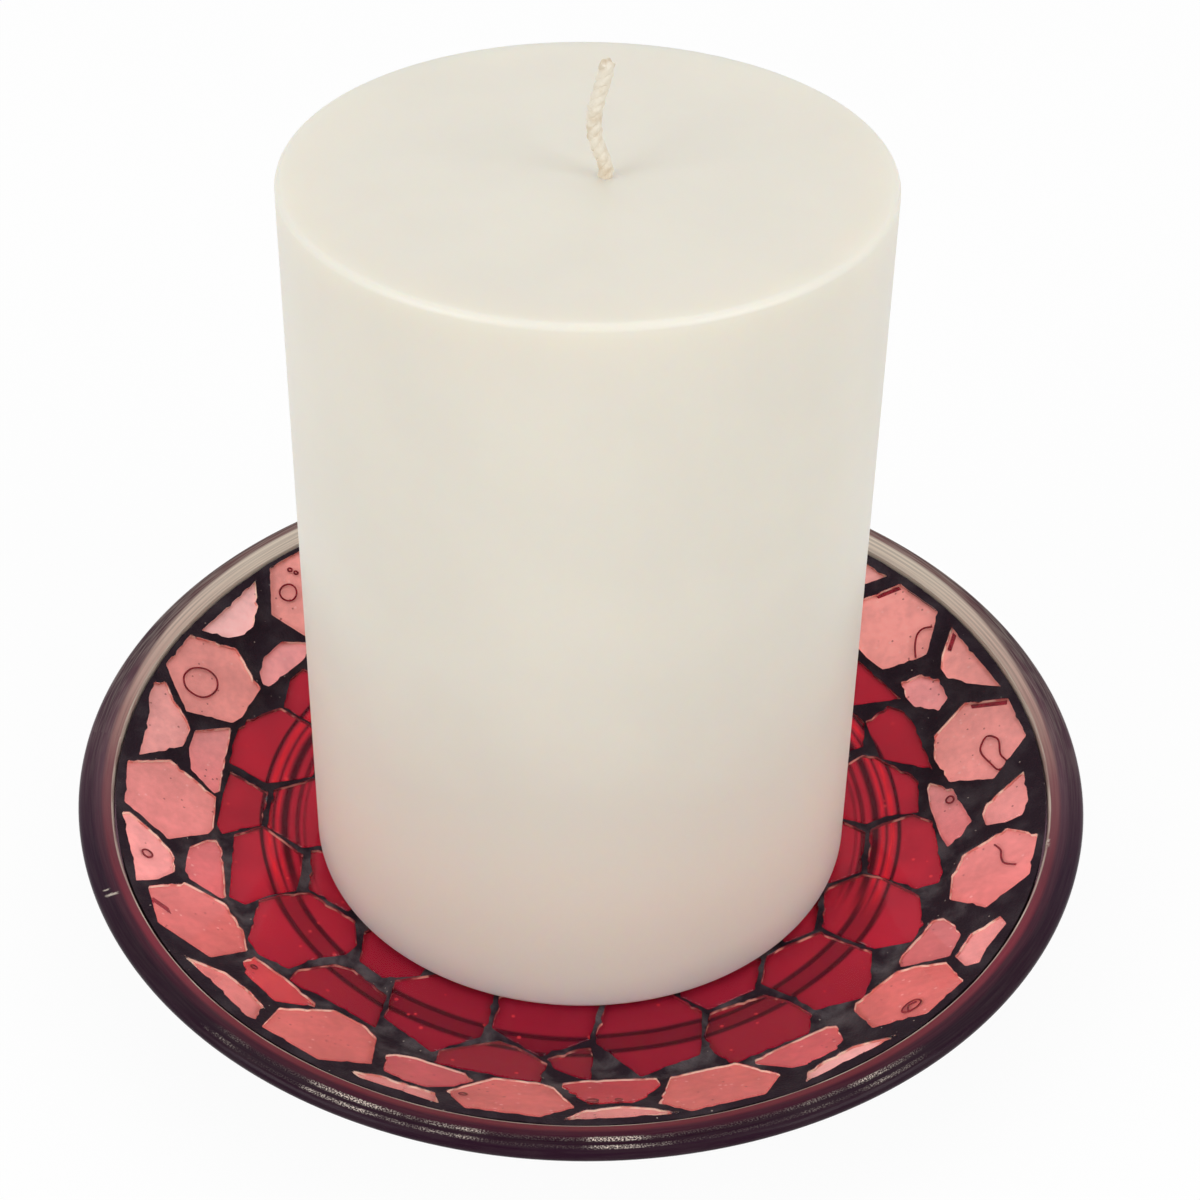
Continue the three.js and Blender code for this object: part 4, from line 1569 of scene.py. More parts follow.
@dataclass
class GroutBed:
    """The grout between the cut pieces, sunk between them and rough on top."""

    flats: list[FlatPiece]
    spacing: float = 0.75 * MM
    clearance: float = 0.015 * MM
    edge_depth: float = 0.16 * MM
    sink: float = 0.3 * MM
    sink_reach: float = 0.9 * MM
    lift_reach: float = 1.6 * MM
    roughness: float = 0.07 * MM
    grains: tuple[tuple[float, float], ...] = ((900, 0.3), (2600, 1.7))
    bottom_depth: float = 1.75 * MM
    bottom_inset: float = 0.03 * MM
    rim_steps: int = 400
    seed: int = 5

    def contours(self) -> list[list[tuple[Vector, Vector, float]]]:
        """Gives each piece's outline in plan at the grout's edge.

        Returns:
            For each piece its points, each with the outward direction and how far the piece's top
            stands over the bowl there.
        """
        found = []
        for flat in self.flats:
            grown = flat.moved(flat.nipped, self.clearance)
            ring: list[tuple[Vector, Vector, float]] = []
            for corner, out in zip(grown, flat.side_normals(grown)):
                place = flat.place(corner, -self.edge_depth)
                heading = flat.across * out.x + flat.along * out.y
                lift = place.z - BOWL.height(place.xy.length, self.edge_depth)
                ring.append((place.xy, heading.xy, lift))
            found.append(ring)
        return found

    def build(self) -> bpy.types.Object:
        """Makes the grout as one closed mesh.

        Returns:
            The grout's object.
        """
        draw = random.Random(self.seed)
        contours = self.contours()
        plan: list[Vector] = []
        heading: dict[int, Vector] = {}
        lifts: dict[int, float] = {}
        polygons = []
        for ring in contours:
            indices = []
            for spot, out, lift in ring:
                heading[len(plan)] = out
                lifts[len(plan)] = lift
                indices.append(len(plan))
                plan.append(spot)
            polygons.append(indices)
        tree = nearest_tree([(spot.x, spot.y, 0.0) for spot in plan])
        radius = BOWL.field_radius
        rim = []
        for step in range(self.rim_steps):
            angle = math.tau * step / self.rim_steps
            rim.append(len(plan))
            plan.append(Vector((radius * math.cos(angle), radius * math.sin(angle))))
        count = int(radius / self.spacing) + 1
        for row in range(-count, count + 1):
            for column in range(-count, count + 1):
                jitter = Vector((draw.uniform(-0.3, 0.3), draw.uniform(-0.3, 0.3)))
                spot = (Vector((column + 0.5 * (row % 2), row * 0.87)) + jitter) * self.spacing
                near = tree.find((spot.x, spot.y, 0.0))[2]
                if spot.length < radius - 0.5 * self.spacing and near > 0.4 * self.spacing:
                    plan.append(spot)
        edges = [(rim[step], rim[(step + 1) % len(rim)]) for step in range(len(rim))]
        verts, _, faces, originals, _, owners = delaunay_2d_cdt(plan, edges, polygons, 0, 1e-7)
        kept = [face for face, owner in zip(faces, owners) if not owner]
        mesh = self.closed(verts, kept, originals, heading, lifts, tree)
        piece = add_object("grout_network", mesh, [GROUT])
        settle(piece, "dish", ["grout"])
        return piece

    def closed(
        self,
        verts: Sequence[Vector],
        faces: Sequence[Sequence[int]],
        originals: Sequence[Sequence[int]],
        heading: dict[int, Vector],
        lifts: dict[int, float],
        tree: kdtree.KDTree,
    ) -> bpy.types.Mesh:
        """Lifts the plan to the bowl and closes it below.

        Args:
            verts: The plan's points.
            faces: The triangles between the pieces.
            originals: Which given points each point comes from.
            heading: The outward directions of the given outline points.
            lifts: How far the pieces stand over the bowl at the given outline points.
            tree: Finds the nearest outline point.

        Returns:
            The closed mesh.
        """
        used = sorted({index for face in faces for index in face})
        top, bottom = {}, {}
        shape = bmesh.new()
        for index in used:
            spot = verts[index]
            radius = spot.length
            _, closest, near = tree.find((spot.x, spot.y, 0.0))
            rough = sum(noise.noise((spot.x * scale, spot.y * scale, start)) for scale, start in self.grains)
            depth = self.edge_depth + self.sink * smooth(near / self.sink_reach)
            depth -= self.roughness * rough * smooth(near / (0.3 * MM))
            lift = lifts[closest] * (1 - smooth((near - 0.2 * MM) / self.lift_reach))
            top[index] = shape.verts.new((spot.x, spot.y, BOWL.height(radius, depth) + lift))
            source = next((given for given in originals[index] if given in heading), None)
            shift = heading[source] * self.bottom_inset if source is not None else Vector((0.0, 0.0))
            outward = spot.normalized() if radius > MM else Vector((0.0, 0.0))
            lean = self.lean(radius) * (self.bottom_depth - depth)
            foot = spot + shift + outward * lean
            if foot.length > BOWL.field_radius:
                foot = foot.normalized() * BOWL.field_radius
            bottom[index] = shape.verts.new((foot.x, foot.y, BOWL.height(foot.length, self.bottom_depth)))
        borders: dict[tuple[int, int], int] = {}
        for a, b, c in faces:
            shape.faces.new((top[a], top[b], top[c]))
            shape.faces.new((bottom[c], bottom[b], bottom[a]))
            for edge in ((a, b), (b, c), (c, a)):
                borders[edge] = borders.get(edge, 0) + 1
        for a, b in borders:
            if (b, a) not in borders:
                shape.faces.new((top[b], top[a], bottom[a], bottom[b]))
        bmesh.ops.recalc_face_normals(shape, faces=shape.faces)
        mesh = bpy.data.meshes.new("grout_network")
        shape.to_mesh(mesh)
        shape.free()
        mesh.shade_smooth()
        mesh.set_sharp_from_angle(angle=math.radians(50))
        return mesh

    @staticmethod
    def lean(radius: float) -> float:
        """Gives how far outwards the bowl's inside leans per unit of depth.

        Args:
            radius: The distance from the axis.

        Returns:
            The lean.
        """
        if radius <= BOWL.floor_radius:
            return 0.0
        return min(math.sin(BOWL.slope), (radius - BOWL.floor_radius) / BOWL.corner)


@dataclass
class GlassDish:
    """The pressed glass dish with its rim, step and foot ring."""

    radius: float = 70.75 * MM
    rim_width: float = 4.75 * MM
    crest_inset: float = 2 * MM
    crest_rise: float = 0.8 * MM
    edge_drop: float = 0.2 * MM
    foot_radius: float = 46 * MM
    foot_width: float = 2.6 * MM
    foot_round: float = 0.55 * MM
    mould_line: Profile = field(default_factory=lambda: [(2.6 * MM, 0.0), (2.2 * MM, 0.18 * MM), (1.8 * MM, 0.0)])
    crest_line: Profile = field(default_factory=lambda: [
        (-0.5 * MM, 0.09 * MM), (0.0, 0.0), (0.7 * MM, 0.05 * MM), (1.6 * MM, 0.3 * MM),
    ])
    step_line: Profile = field(default_factory=lambda: [
        (0.5 * MM, -0.12 * MM), (0.12 * MM, 0.1 * MM), (0.0, 0.5 * MM),
    ])
    steps: int = 288

    def profile(self) -> Profile:
        """Gives the dish's cross-section, anticlockwise from the axis underneath.

        Returns:
            Points as radius and height.
        """
        step_radius = self.radius - self.rim_width
        rim_top = BOWL.height(BOWL.field_radius)
        under = BOWL.floor_level - BOWL.glass_bottom
        inner = self.foot_radius - self.foot_width
        rounding = self.foot_round
        edge_level = rim_top - self.edge_drop
        edge = arc((self.radius - MM, edge_level), MM, -62.0, 76.0, 8)
        crest = (self.radius - self.crest_inset, rim_top + self.crest_rise)
        root = self.radius - 3 * MM
        return [
            (0.0, under),
            *((inner - inwards, under - drop) for inwards, drop in self.mould_line),
            (inner, under),
            *arc((inner + rounding, rounding), rounding, 180.0, 270.0, 5),
            *arc((self.foot_radius - rounding, rounding), rounding, 270.0, 360.0, 5),
            *BOWL.line(BOWL.glass_bottom, self.foot_radius, root),
            *edge,
            *((crest[0] - inwards, crest[1] - drop) for inwards, drop in self.crest_line),
            *((step_radius + outwards, rim_top - drop) for outwards, drop in self.step_line),
            *reversed(BOWL.line(BOWL.glass_top, 0.0, step_radius)),
        ]

    def build(self) -> None:
        """Makes the dish."""
        mesh = lathe("pressed_dish", self.profile(), self.steps, 40.0)
        settle(add_object("pressed_dish", mesh, [DISH_GLASS]), "dish", ["glass_dish"])


class Tree:
    """A Geometry Nodes tree with named inputs."""

    def __init__(self, name: str, numbers: dict[str, float], counts: dict[str, int]) -> None:
        """Starts the tree.

        Args:
            name: The tree's name.
            numbers: Its number inputs and their defaults.
            counts: Its whole-number inputs and their defaults.
        """
        self.tree = bpy.data.node_groups.new(name, "GeometryNodeTree")
        make = self.tree.interface.new_socket
        make("Geometry", in_out="INPUT", socket_type="NodeSocketGeometry")
        for label, value in numbers.items():
            make(label, in_out="INPUT", socket_type="NodeSocketFloat").default_value = value
        for label, value in counts.items():
            make(label, in_out="INPUT", socket_type="NodeSocketInt").default_value = value
        make("Material", in_out="INPUT", socket_type="NodeSocketMaterial")
        make("Geometry", in_out="OUTPUT", socket_type="NodeSocketGeometry")
        self.nodes = Nodes(self.tree)
        self.given = self.nodes.add("NodeGroupInput").outputs

    def finish(self, geometry: Socket) -> None:
        """Ends the tree with real meshes in the given material.

        Args:
            geometry: What the tree has made.
        """
        real = self.nodes.add("GeometryNodeRealizeInstances", {"Geometry": geometry})
        dressed = self.nodes.add("GeometryNodeSetMaterial", {
            "Geometry": real.outputs["Geometry"],
            "Material": self.given["Material"],
        })
        self.nodes.add("NodeGroupOutput", {"Geometry": dressed.outputs["Geometry"]})

    def bake(
        self, name: str, source: bpy.types.Object, values: dict[str, object], finish: Finish,
    ) -> bpy.types.Object:
        """Runs the tree on an object and keeps the result as a plain mesh.

        Args:
            name: The new piece's name.
            source: The object that the tree starts from.
            values: Its inputs by name.
            finish: The finish of the result.

        Returns:
            The new piece.
        """
        modifier = source.modifiers.new(name, "NODES")
        modifier.node_group = self.tree
        values = {**values, "Material": finish.material()}
        for item in self.tree.interface.items_tree:
            if item.in_out == "INPUT" and item.name in values:
                modifier[item.identifier] = values[item.name]
        mesh = result_mesh(source)
        source.modifiers.remove(modifier)
        mesh.name = name
        return add_object(name, mesh, [finish])


def scatter_tree() -> Tree:
    """Builds the tree that strews small rounded grains over a surface.

    Returns:
        The tree.
    """
    tree = Tree("strewn_grains", {"Density": 1e5, "Size": 0.1 * MM, "Flatness": 0.6}, {"Seed": 1})
    nodes, given = tree.nodes, tree.given
    points = nodes.add("GeometryNodeDistributePointsOnFaces", {
        "Mesh": given["Geometry"], "Density": given["Density"], "Seed": given["Seed"],
    })
    ball = nodes.add("GeometryNodeMeshIcoSphere", {"Radius": given["Size"], "Subdivisions": 1})
    width = nodes.add("FunctionNodeRandomValue", {"Seed": given["Seed"], 2: 0.35, 3: 1.0}, data_type="FLOAT")
    tall = nodes.math("MULTIPLY", width.outputs[1], given["Flatness"])
    scale = nodes.add("ShaderNodeCombineXYZ", {"X": width.outputs[1], "Y": width.outputs[1], "Z": tall})
    grains = nodes.add("GeometryNodeInstanceOnPoints", {
        "Points": points.outputs["Points"],
        "Instance": ball.outputs["Mesh"],
        "Rotation": points.outputs["Rotation"],
        "Scale": scale.outputs["Vector"],
    })
    tree.finish(grains.outputs["Instances"])
    return tree


def braid_tree(strands: int) -> Tree:
    """Builds the tree that lays twisted strands along a curve.

    Args:
        strands: How many strands there are.

    Returns:
        The tree.
    """
    tree = Tree("twisted_strands", {"Strand": 0.5 * MM, "Offset": 0.5 * MM, "Turns": 6.0}, {"Sides": 8})
    nodes, given = tree.nodes, tree.given
    joined = nodes.add("GeometryNodeJoinGeometry")
    section = nodes.add("GeometryNodeCurvePrimitiveCircle", {
        "Resolution": given["Sides"], "Radius": given["Strand"],
    })
    for strand in range(strands):
        share = nodes.add("GeometryNodeSplineParameter").outputs["Factor"]
        turn = nodes.product(share, given["Turns"], math.tau)
        angle = nodes.math("ADD", turn, math.tau * strand / strands)
        x = nodes.math("MULTIPLY", nodes.math("COSINE", angle), given["Offset"])
        y = nodes.math("MULTIPLY", nodes.math("SINE", angle), given["Offset"])
        offset = nodes.add("ShaderNodeCombineXYZ", {"X": x, "Y": y})
        path = nodes.add("GeometryNodeSetPosition", {
            "Geometry": given["Geometry"], "Offset": offset.outputs["Vector"],
        })
        tube = nodes.add("GeometryNodeCurveToMesh", {
            "Curve": path.outputs["Geometry"], "Profile Curve": section.outputs["Curve"], "Fill Caps": True,
        })
        nodes.link(tube.outputs["Mesh"], joined.inputs["Geometry"])
    tree.finish(joined.outputs["Geometry"])
    return tree


@dataclass(frozen=True)
class Mark:
    """A line of set glue under a piece of glass.

    Its points are given as angle in degrees and share of the mosaic's radius in percent.
    """

    points: tuple[tuple[float, float], ...]
    closed: bool = False
    width: float = 1.0


def laid(degrees: float, share: float) -> Vector:
    """Gives where a mark's point lies in plan.

    Args:
        degrees: Its angle before the pieces are drawn to the front.
        share: Its share of the mosaic's radius in percent.

    Returns:
        The place in plan.
    """
    turned = degrees - 0.2 - 2.35 * math.cos(math.radians(degrees - 12.0))
    angle = math.radians(turned)
    return Vector((math.cos(angle), math.sin(angle))) * (share / 100 * BOWL.field_radius)


def eased(places: Sequence[Vector], closed: bool, steps: int = 6) -> list[Vector]:
    """Draws a smooth line through places.

    Args:
        places: The places in order.
        closed: Whether the line comes back to its start.
        steps: How many pieces each stretch gets.

    Returns:
        The points of the line.
    """
    count = len(places)
    last = count if closed else count - 1
    around = (-1, 0, 1, 2)
    found = []
    for index in range(last):
        if closed:
            p0, p1, p2, p3 = (places[(index + shift) % count] for shift in around)
        else:
            p0, p1, p2, p3 = (places[min(max(index + shift, 0), count - 1)] for shift in around)
        for step in range(steps):
            t = step / steps
            bend = (p2 - p0) * t + (2 * p0 - 5 * p1 + 4 * p2 - p3) * t * t + (3 * p1 - 3 * p2 + p3 - p0) * t ** 3
            found.append(p1 + bend / 2)
    if not closed:
        found.append(places[-1])
    return found


def ring_mark(degrees: float, share: float, across: float, along: float, width: float = 1.0) -> Mark:
    """Makes a closed ring of glue.

    Args:
        degrees: The angle of its middle.
        share: Its middle's share of the mosaic's radius in percent.
        across: Its width round the axis.
        along: Its height towards the rim, in plan.
        width: How thick the line is.

    Returns:
        The mark.
    """
    radius = share / 100 * BOWL.field_radius
    points = []
    for step in range(10):
        angle = math.tau * step / 10
        wander = 1 + 0.06 * math.sin(2.3 * angle + degrees)
        turn = math.degrees(across / 2 * wander * math.cos(angle) / radius)
        points.append((degrees + turn, share + 100 * along / 2 * wander * math.sin(angle) / BOWL.field_radius))
    return Mark(tuple(points), True, width)


def line_tree() -> Tree:
    """Builds the tree that turns lines into thin round beads.

    Returns:
        The tree.
    """
    tree = Tree("glue_beads", {"Radius": 0.1 * MM}, {"Sides": 8})
    nodes, given = tree.nodes, tree.given
    section = nodes.add("GeometryNodeCurvePrimitiveCircle", {
        "Resolution": given["Sides"], "Radius": given["Radius"],
    })
    bead = nodes.add("GeometryNodeCurveToMesh", {
        "Curve": given["Geometry"], "Profile Curve": section.outputs["Curve"], "Fill Caps": True,
    })
    tree.finish(bead.outputs["Mesh"])
    return tree


@dataclass
class GlueMarks:
    """Glue and red stain that show through the clear glass of some pieces."""

    flats: list[FlatPiece]
    depth: float = 0.4 * MM
    bead: float = 0.15 * MM
    stain_top: float = 0.7 * MM
    stain_bottom: float = 0.77 * MM
    marks: tuple[Mark, ...] = (
        ring_mark(162.2, 90.9, 5.6 * MM, 4.4 * MM),
        ring_mark(139.7, 92.1, 2.8 * MM, 2.4 * MM),
        ring_mark(137.2, 96.0, 0.7 * MM, 0.5 * MM, 0.7),
        ring_mark(136.7, 94.8, 0.6 * MM, 0.5 * MM, 0.7),
        ring_mark(197.5, 94.6, 1.5 * MM, 1.2 * MM, 0.8),
        ring_mark(314.9, 93.8, 3.0 * MM, 1.7 * MM, 1.2),
        Mark(((313.9, 94.4), (314.9, 93.2), (315.9, 93.8)), False, 2.0),
        Mark(((343.4, 95.2), (344.1, 92.8), (345.5, 91.8), (347.0, 91.4), (348.4, 90.0)), False, 1.0),
        Mark((
            (363.8, 93.1), (365.5, 92.4), (368.1, 92.8), (369.6, 91.1), (368.6, 89.4), (367.2, 88.9),
            (364.8, 90.0), (362.9, 91.4),
        ), True, 1.0),
        Mark(((392.1, 94.7), (392.9, 93.1), (392.8, 91.4), (391.6, 89.5), (390.0, 88.0)), False, 1.0),
        ring_mark(360.8, 81.0, 1.4 * MM, 1.0 * MM, 0.6),
        ring_mark(219.6, 85.3, 0.9 * MM, 0.7 * MM, 0.8),
        ring_mark(256.5, 92.5, 1.0 * MM, 0.6 * MM, 0.8),
        ring_mark(272.0, 90.0, 1.4 * MM, 0.9 * MM, 0.7),
        ring_mark(275.3, 90.0, 0.8 * MM, 0.6 * MM, 0.7),
    )
    stains: tuple[tuple[tuple[float, float], ...], ...] = (
        ((205.2, 96.9), (206.2, 97.1), (208.6, 94.4), (207.4, 94.3)),
        ((374.0, 97.4), (376.9, 91.0), (376.2, 90.8), (373.4, 97.0)),
        ((401.0, 97.0), (403.0, 92.8), (402.3, 92.6), (400.4, 96.8)),
        ((389.3, 97.0), (387.6, 93.8), (386.9, 94.0), (388.5, 97.0)),
    )

    def owner(self, spots: Sequence[Vector]) -> FlatPiece | None:
        """Finds the piece that holds the most of some points of the plan.

        Args:
            spots: The points in plan.

        Returns:
            The piece, or None where no piece holds any.
        """
        best, most = None, 0
        for flat in self.flats:
            count = sum(flat.holds(flat.under(spot)) for spot in spots)
            if count > most:
                best, most = flat, count
        return best

    def lines(self) -> bpy.types.Object:
        """Draws the middle lines of the glue.

        Returns:
            The curve's object.
        """
        curve = bpy.data.curves.new("glue_lines", "CURVE")
        curve.dimensions = "3D"
        for mark in self.marks:
            spots = [laid(*point) for point in mark.points]
            flat = self.owner(spots)
            if flat is None:
                log.info("a glue mark lies between the pieces and is left out")
                continue
            places = eased([flat.place(flat.under(spot), -self.depth) for spot in spots], mark.closed)
            spline = curve.splines.new("POLY")
            spline.points.add(len(places) - 1)
            for index, (point, place) in enumerate(zip(spline.points, places)):
                point.co = (*place, 1.0)
                ends = 1.0 if mark.closed else min(1.0, 0.35 + 0.2 * min(index, len(places) - 1 - index))
                point.radius = mark.width * ends
            spline.use_cyclic_u = mark.closed
        return place_object("glue_lines", curve)

    def stain_mesh(self) -> bpy.types.Mesh:
        """Makes the thin red stains on the coloured backs.

        Returns:
            The mesh.
        """

        def build(shape: bmesh.types.BMesh) -> None:
            """Adds each stain as a thin closed slab.

            Args:
                shape: The bmesh that gets them.
            """
            for corners in self.stains:
                spots = [laid(*corner) for corner in corners]
                flat = self.owner(spots)
                if flat is None:
                    continue
                outline = [flat.under(spot) for spot in spots]
                rings = [
                    [shape.verts.new(flat.place(corner, -depth)) for corner in outline]
                    for depth in (self.stain_bottom, self.stain_top)
                ]
                shape.faces.new(list(reversed(rings[0])))
                shape.faces.new(rings[1])
                for index in range(len(outline)):
                    after = (index + 1) % len(outline)
                    shape.faces.new((rings[0][index], rings[0][after], rings[1][after], rings[1][index]))
            bmesh.ops.recalc_face_normals(shape, faces=shape.faces)

        return mesh_from("red_stains", build, 30.0)

    def build(self) -> None:
        """Makes the glue beads and the stains."""
        line = self.lines()
        beads = line_tree().bake("glue_beads", line, {"Radius": self.bead, "Sides": 8}, GLUE)
        bpy.data.objects.remove(line)
        beads.data.shade_smooth()
        settle(beads, "dish")
        settle(add_object("red_stains", self.stain_mesh(), [STAIN]), "dish")


@dataclass
class GroutGrit:
    """Loose sand grains that stand out of the grout."""

    density: float = 1.1e5
    size: float = 0.16 * MM
    seed: int = 3

    def build(self, grout: bpy.types.Object) -> None:
        """Strews the grains over the grout.

        Args:
            grout: The grout's object.
        """
        values = {"Density": self.density, "Size": self.size, "Flatness": 0.7, "Seed": self.seed}
        piece = scatter_tree().bake("grout_grit", grout, values, GROUT)
        settle(piece, "dish")


@dataclass
class Candle:
    """The pillar candle: wax, wick and the metal foot of the wick."""

    nodes: dict[str, bpy.types.Object]
    top_round: float = 0.9 * MM
    foot_round: float = 0.6 * MM
    collar_rise: float = 0.35 * MM
    collar_reach: float = 2.2 * MM
    collar_radius: float = 2.5 * MM
    wick_straight: float = 1.2 * MM
    wick_bow: float = 1.5 * MM
    wick_tip: float = 0.35 * MM
    wick_points: int = 160
    hollow: float = 0.35 * MM
    ripple: float = 0.06 * MM
    clearance: float = 0.3 * MM
    steps: int = 240

    def __post_init__(self) -> None:
        """Reads the candle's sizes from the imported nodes."""
        low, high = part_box("candle_wax")
        self.radius, self.base, self.top = high.x, low.z, high.z
        low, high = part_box("wick_sustainer")
        self.disc = (high.x - low.x) / 2
        self.stand = Vector(((high.x + low.x) / 2, (high.y + low.y) / 2))
        self.collar_top = high.z

    def wax_profile(self) -> Profile:
        """Gives the wax's cross-section, which dips a little inside its edge.

        Returns:
            Points as radius and height.
        """
        edge = self.radius - self.top_round
        inside = [(edge * (1 - step / 26), self.top) for step in range(1, 26)]
        return [
            (0.0, self.base),
            *arc((self.radius - self.foot_round, self.base + self.foot_round), self.foot_round, -90.0, 0.0, 4),
            *arc((edge, self.top - self.top_round), self.top_round, 0.0, 90.0, 7),
            *inside,
            (0.0, self.top),
        ]

    def pocket_profile(self) -> Profile:
        """Gives the room in the wax for the metal foot.

        Returns:
            Points as radius and height.
        """
        disc = self.disc + self.clearance
        collar = self.collar_radius
        return [
            (0.0, self.base - MM),
            (disc, self.base - MM),
            (disc, self.base + MM),
            (collar, self.base + MM),
            (collar, self.collar_top + self.clearance),
            (0.0, self.collar_top + self.clearance),
        ]

    def shape_top(self, mesh: bpy.types.Mesh) -> None:
        """Dips the top a little and draws the wax up round the wick.

        Args:
            mesh: The wax's mesh.
        """
        for corner in mesh.vertices:
            spot = corner.co.xy
            if corner.co.z > self.top - 0.01 * MM and spot.length < self.radius - 1.5 * self.top_round:
                share = spot.length / self.radius
                dip = self.hollow * (1 - share ** 4) + self.ripple * noise.noise(corner.co * 60)
                away = (spot - self.stand).length / self.collar_reach
                corner.co.z += self.collar_rise * (1 - smooth(away)) - dip

    def wax(self) -> bpy.types.Object:
        """Pours the wax round the pocket.

        Returns:
            The wax's object.
        """
        mesh = lathe("wax_block", self.wax_profile(), self.steps, 50.0)
        self.shape_top(mesh)
        block = add_object("wax_block", mesh, [WAX])
        cutter_mesh = lathe("foot_pocket", self.pocket_profile(), 96, 50.0)
        cutter_mesh.transform(Matrix.Translation((*self.stand, 0.0)))
        cutter = add_object("foot_pocket", cutter_mesh, [WAX])
        carve = block.modifiers.new("foot_pocket", "BOOLEAN")
        carve.object = cutter
        carve.solver = "EXACT"
        carved = result_mesh(block)
        bpy.data.objects.remove(block)
        bpy.data.objects.remove(cutter)
        return add_object("poured_wax", carved, [WAX])

    def wick_curve(self) -> bpy.types.Object:
        """Draws the wick's line: straight in the wax, bowed to the left over it.

        Returns:
            The curve's object.
        """
        low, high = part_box("wick")
        start = self.top + self.wick_straight
        curve = bpy.data.curves.new("wick_line", "CURVE")
        curve.dimensions = "3D"
        spline = curve.splines.new("POLY")
        spline.points.add(self.wick_points - 1)
        end = high.z - self.wick_tip
        for index, point in enumerate(spline.points):
            height = low.z + (end - low.z) * index / (self.wick_points - 1)
            over = max(0.0, (height - start) / (end - start))
            bow = self.wick_bow * max(0.0, math.sin(math.pi * over ** 0.8)) ** 1.5
            point.co = (self.stand.x - bow, self.stand.y, height, 1.0)
        return place_object("wick_line", curve)

    def build(self) -> None:
        """Makes the wax and the wick and dresses the metal foot."""
        settle(self.wax(), "candle", ["candle_wax"])
        line = self.wick_curve()
        values = {"Strand": 0.62 * MM, "Offset": 0.4 * MM, "Turns": 30.0, "Sides": 12}
        wick = braid_tree(3).bake("braided_wick", line, values, COTTON)
        bpy.data.objects.remove(line)
        wick.data.shade_smooth()
        settle(wick, "candle", ["wick"])
        sustainer = self.nodes["wick_sustainer"]
        sustainer.data.materials.clear()
        sustainer.data.materials.append(TINPLATE.material())
        log.info("wick_sustainer dressed")


@dataclass(frozen=True)
class Lamp:
    """A soft square lamp: its name, its place, the length of its side and its power in watts."""

    name: str
    place: tuple[float, float, float]
    side: float
    power: float


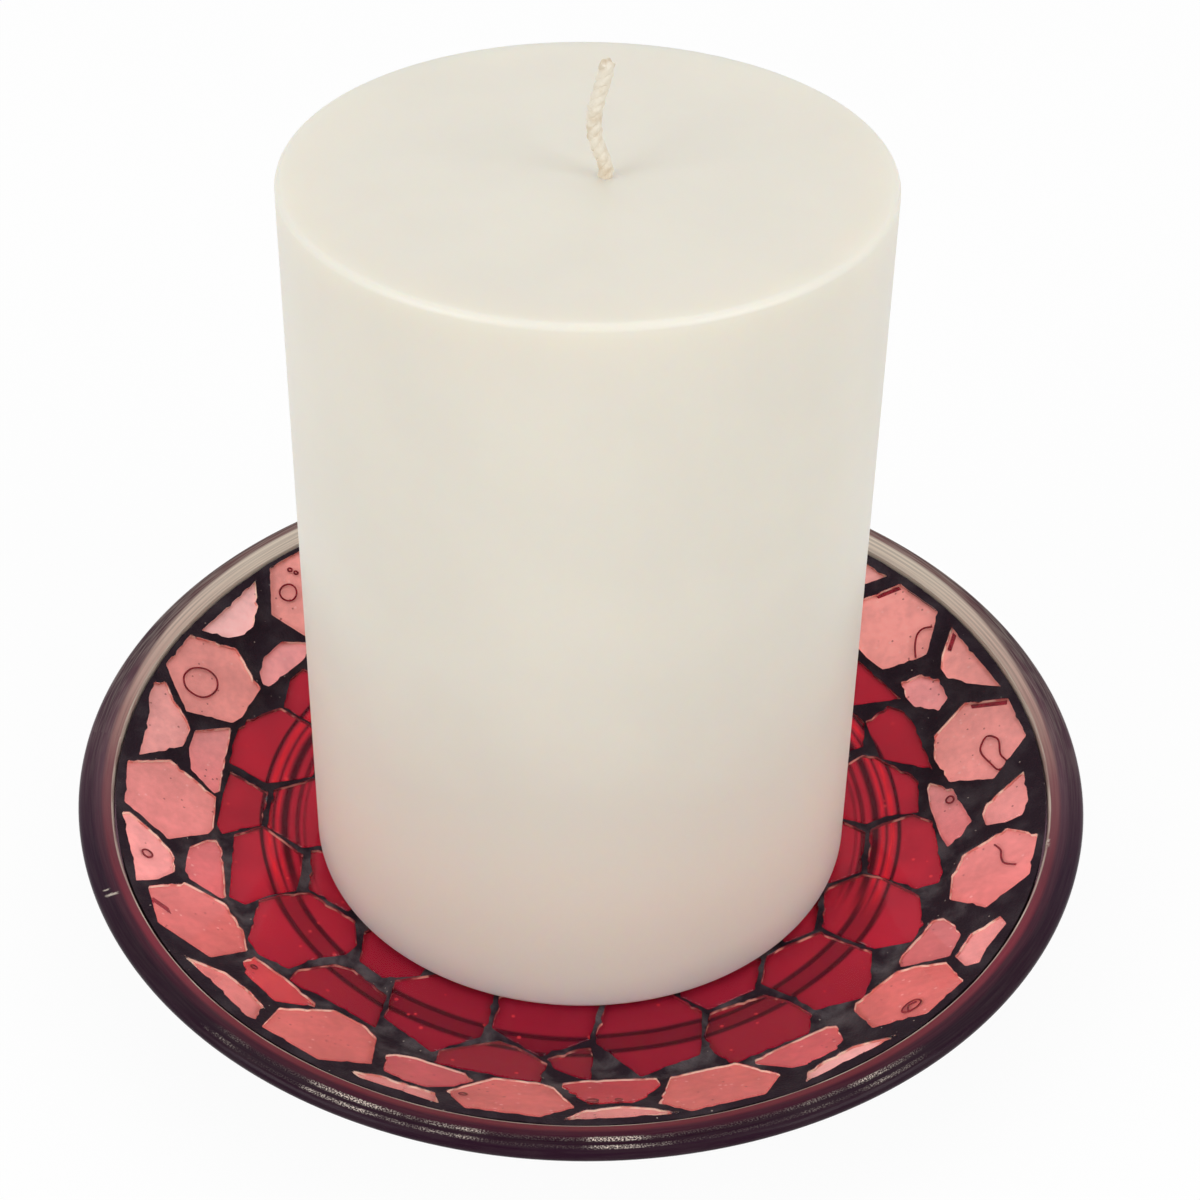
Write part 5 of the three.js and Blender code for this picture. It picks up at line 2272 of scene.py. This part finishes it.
@dataclass
class Stage:
    """The white floor, the soft lamps and the camera."""

    lamps: tuple[Lamp, ...] = (
        Lamp("overhead", (0.0, 0.25, 1.1), 0.9, 1.6),
        Lamp("front_left", (-0.96, -0.72, 0.65), 0.8, 7.0),
        Lamp("front_right", (1.0, -0.7, 0.65), 0.8, 7.0),
    )
    aim_height: float = 40 * MM
    floor_half: float = 3.0
    floor_gap: float = 0.02 * MM
    floor_glow: float = 0.94
    lens: float = 66.46
    sensor: float = 36.0
    shift_x: float = 0.027
    shift_y: float = -0.2321
    camera_x: float = 1.70 * MM
    camera_y: float = -241.44 * MM
    camera_rise: float = 226.68 * MM
    yaw: float = math.radians(0.95)
    pitch: float = math.radians(30.885)
    roll: float = 0.0068
    sky: float = 0.5
    bounce: float = 0.65

    def build(self) -> None:
        """Sets up everything that isn't the object."""
        self.add_floor()
        self.add_world()
        for lamp in self.lamps:
            self.add_lamp(lamp)
        self.add_camera()
        bpy.context.scene.view_settings.view_transform = "Standard"

    @staticmethod
    def seen(nodes: Nodes) -> Socket:
        """Gives 1 for rays from the camera, mirrors and glass.

        Args:
            nodes: Adds the nodes.

        Returns:
            The mask.
        """
        path = nodes.add("ShaderNodeLightPath").outputs
        first = nodes.math("MAXIMUM", path["Is Camera Ray"], path["Is Glossy Ray"])
        return nodes.math("MAXIMUM", first, path["Is Transmission Ray"])

    def add_floor(self) -> None:
        """Lays a plain white floor that keeps the object's shadow."""
        mesh = bpy.data.meshes.new("floor")
        corners = ((-1, -1), (1, -1), (1, 1), (-1, 1))
        mesh.from_pydata([(x * self.floor_half, y * self.floor_half, 0) for x, y in corners], [], [(0, 1, 2, 3)])
        floor = place_object("floor", mesh)
        floor.location.z = -self.floor_gap
        material = bpy.data.materials.new("floor_white")
        nodes = emptied(material)
        seen = self.seen(nodes)
        grey = nodes.mix(seen, (self.bounce,) * 3, (0.95, 0.95, 0.95))
        matte = nodes.add("ShaderNodeBsdfDiffuse", {"Color": grey})
        glow = nodes.add("ShaderNodeEmission", {"Color": (1.0, 1.0, 1.0), "Strength": 1.0})
        share = nodes.math("MULTIPLY", seen, self.floor_glow)
        mixed = nodes.add("ShaderNodeMixShader", {0: share, 1: matte.outputs[0], 2: glow.outputs[0]})
        nodes.add("ShaderNodeOutputMaterial", {"Surface": mixed.outputs[0]})
        mesh.materials.append(material)

    def add_world(self) -> None:
        """Lights the object evenly and shows white behind it."""
        world = bpy.data.worlds.new("studio")
        bpy.context.scene.world = world
        nodes = emptied(world)
        seen = self.seen(nodes)
        strength = nodes.add("ShaderNodeMapRange", {"Value": seen, "To Min": self.sky, "To Max": 1.0})
        sky = nodes.add("ShaderNodeBackground", {"Color": (1.0, 1.0, 1.0), "Strength": strength.outputs["Result"]})
        nodes.add("ShaderNodeOutputWorld", {"Surface": sky.outputs[0]})

    def add_lamp(self, lamp: Lamp) -> None:
        """Adds a lamp aimed at the object.

        Args:
            lamp: The lamp.
        """
        light = bpy.data.lights.new(lamp.name, "AREA")
        light.size = lamp.side
        light.energy = lamp.power
        place = Vector(lamp.place)
        aim = Vector((0.0, 0.0, self.aim_height)) - place
        turn = aim.to_track_quat("-Z", "Y").to_matrix().to_4x4()
        place_object(lamp.name, light).matrix_world = Matrix.Translation(place) @ turn

    def add_camera(self) -> None:
        """Puts the camera where the photograph was taken."""
        data = bpy.data.cameras.new("camera")
        data.lens = self.lens
        data.sensor_width = self.sensor
        data.clip_start = 10 * MM
        data.shift_x = self.shift_x
        data.shift_y = self.shift_y
        turn = Matrix.Rotation(self.yaw, 3, "Z")
        forward = turn @ Vector((0.0, math.cos(self.pitch), -math.sin(self.pitch)))
        right = turn @ Vector((1.0, 0.0, 0.0))
        up = right.cross(forward)
        turned_right = right * math.cos(self.roll) + up * math.sin(self.roll)
        turned_up = up * math.cos(self.roll) - right * math.sin(self.roll)
        frame = Matrix((turned_right, turned_up, -forward)).transposed().to_4x4()
        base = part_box("candle_wax")[0].z
        camera = place_object("camera", data)
        camera.matrix_world = Matrix.Translation((self.camera_x, self.camera_y, base + self.camera_rise)) @ frame
        bpy.context.scene.camera = camera


def main() -> None:
    """Builds the dressed candle holder."""
    logging.basicConfig(level=logging.INFO, format="%(name)s: %(message)s")
    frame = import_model()
    build_groups()
    Stage().build()
    GlassDish().build()
    AdhesiveFilm().build()
    mosaic = Mosaic(frame["nodes"])
    mosaic.build()
    grout = GroutBed(mosaic.flats).build()
    GroutGrit().build(grout)
    GlueMarks(mosaic.flats).build()
    Candle(frame["nodes"]).build()


if __name__ == "__main__":
    main()
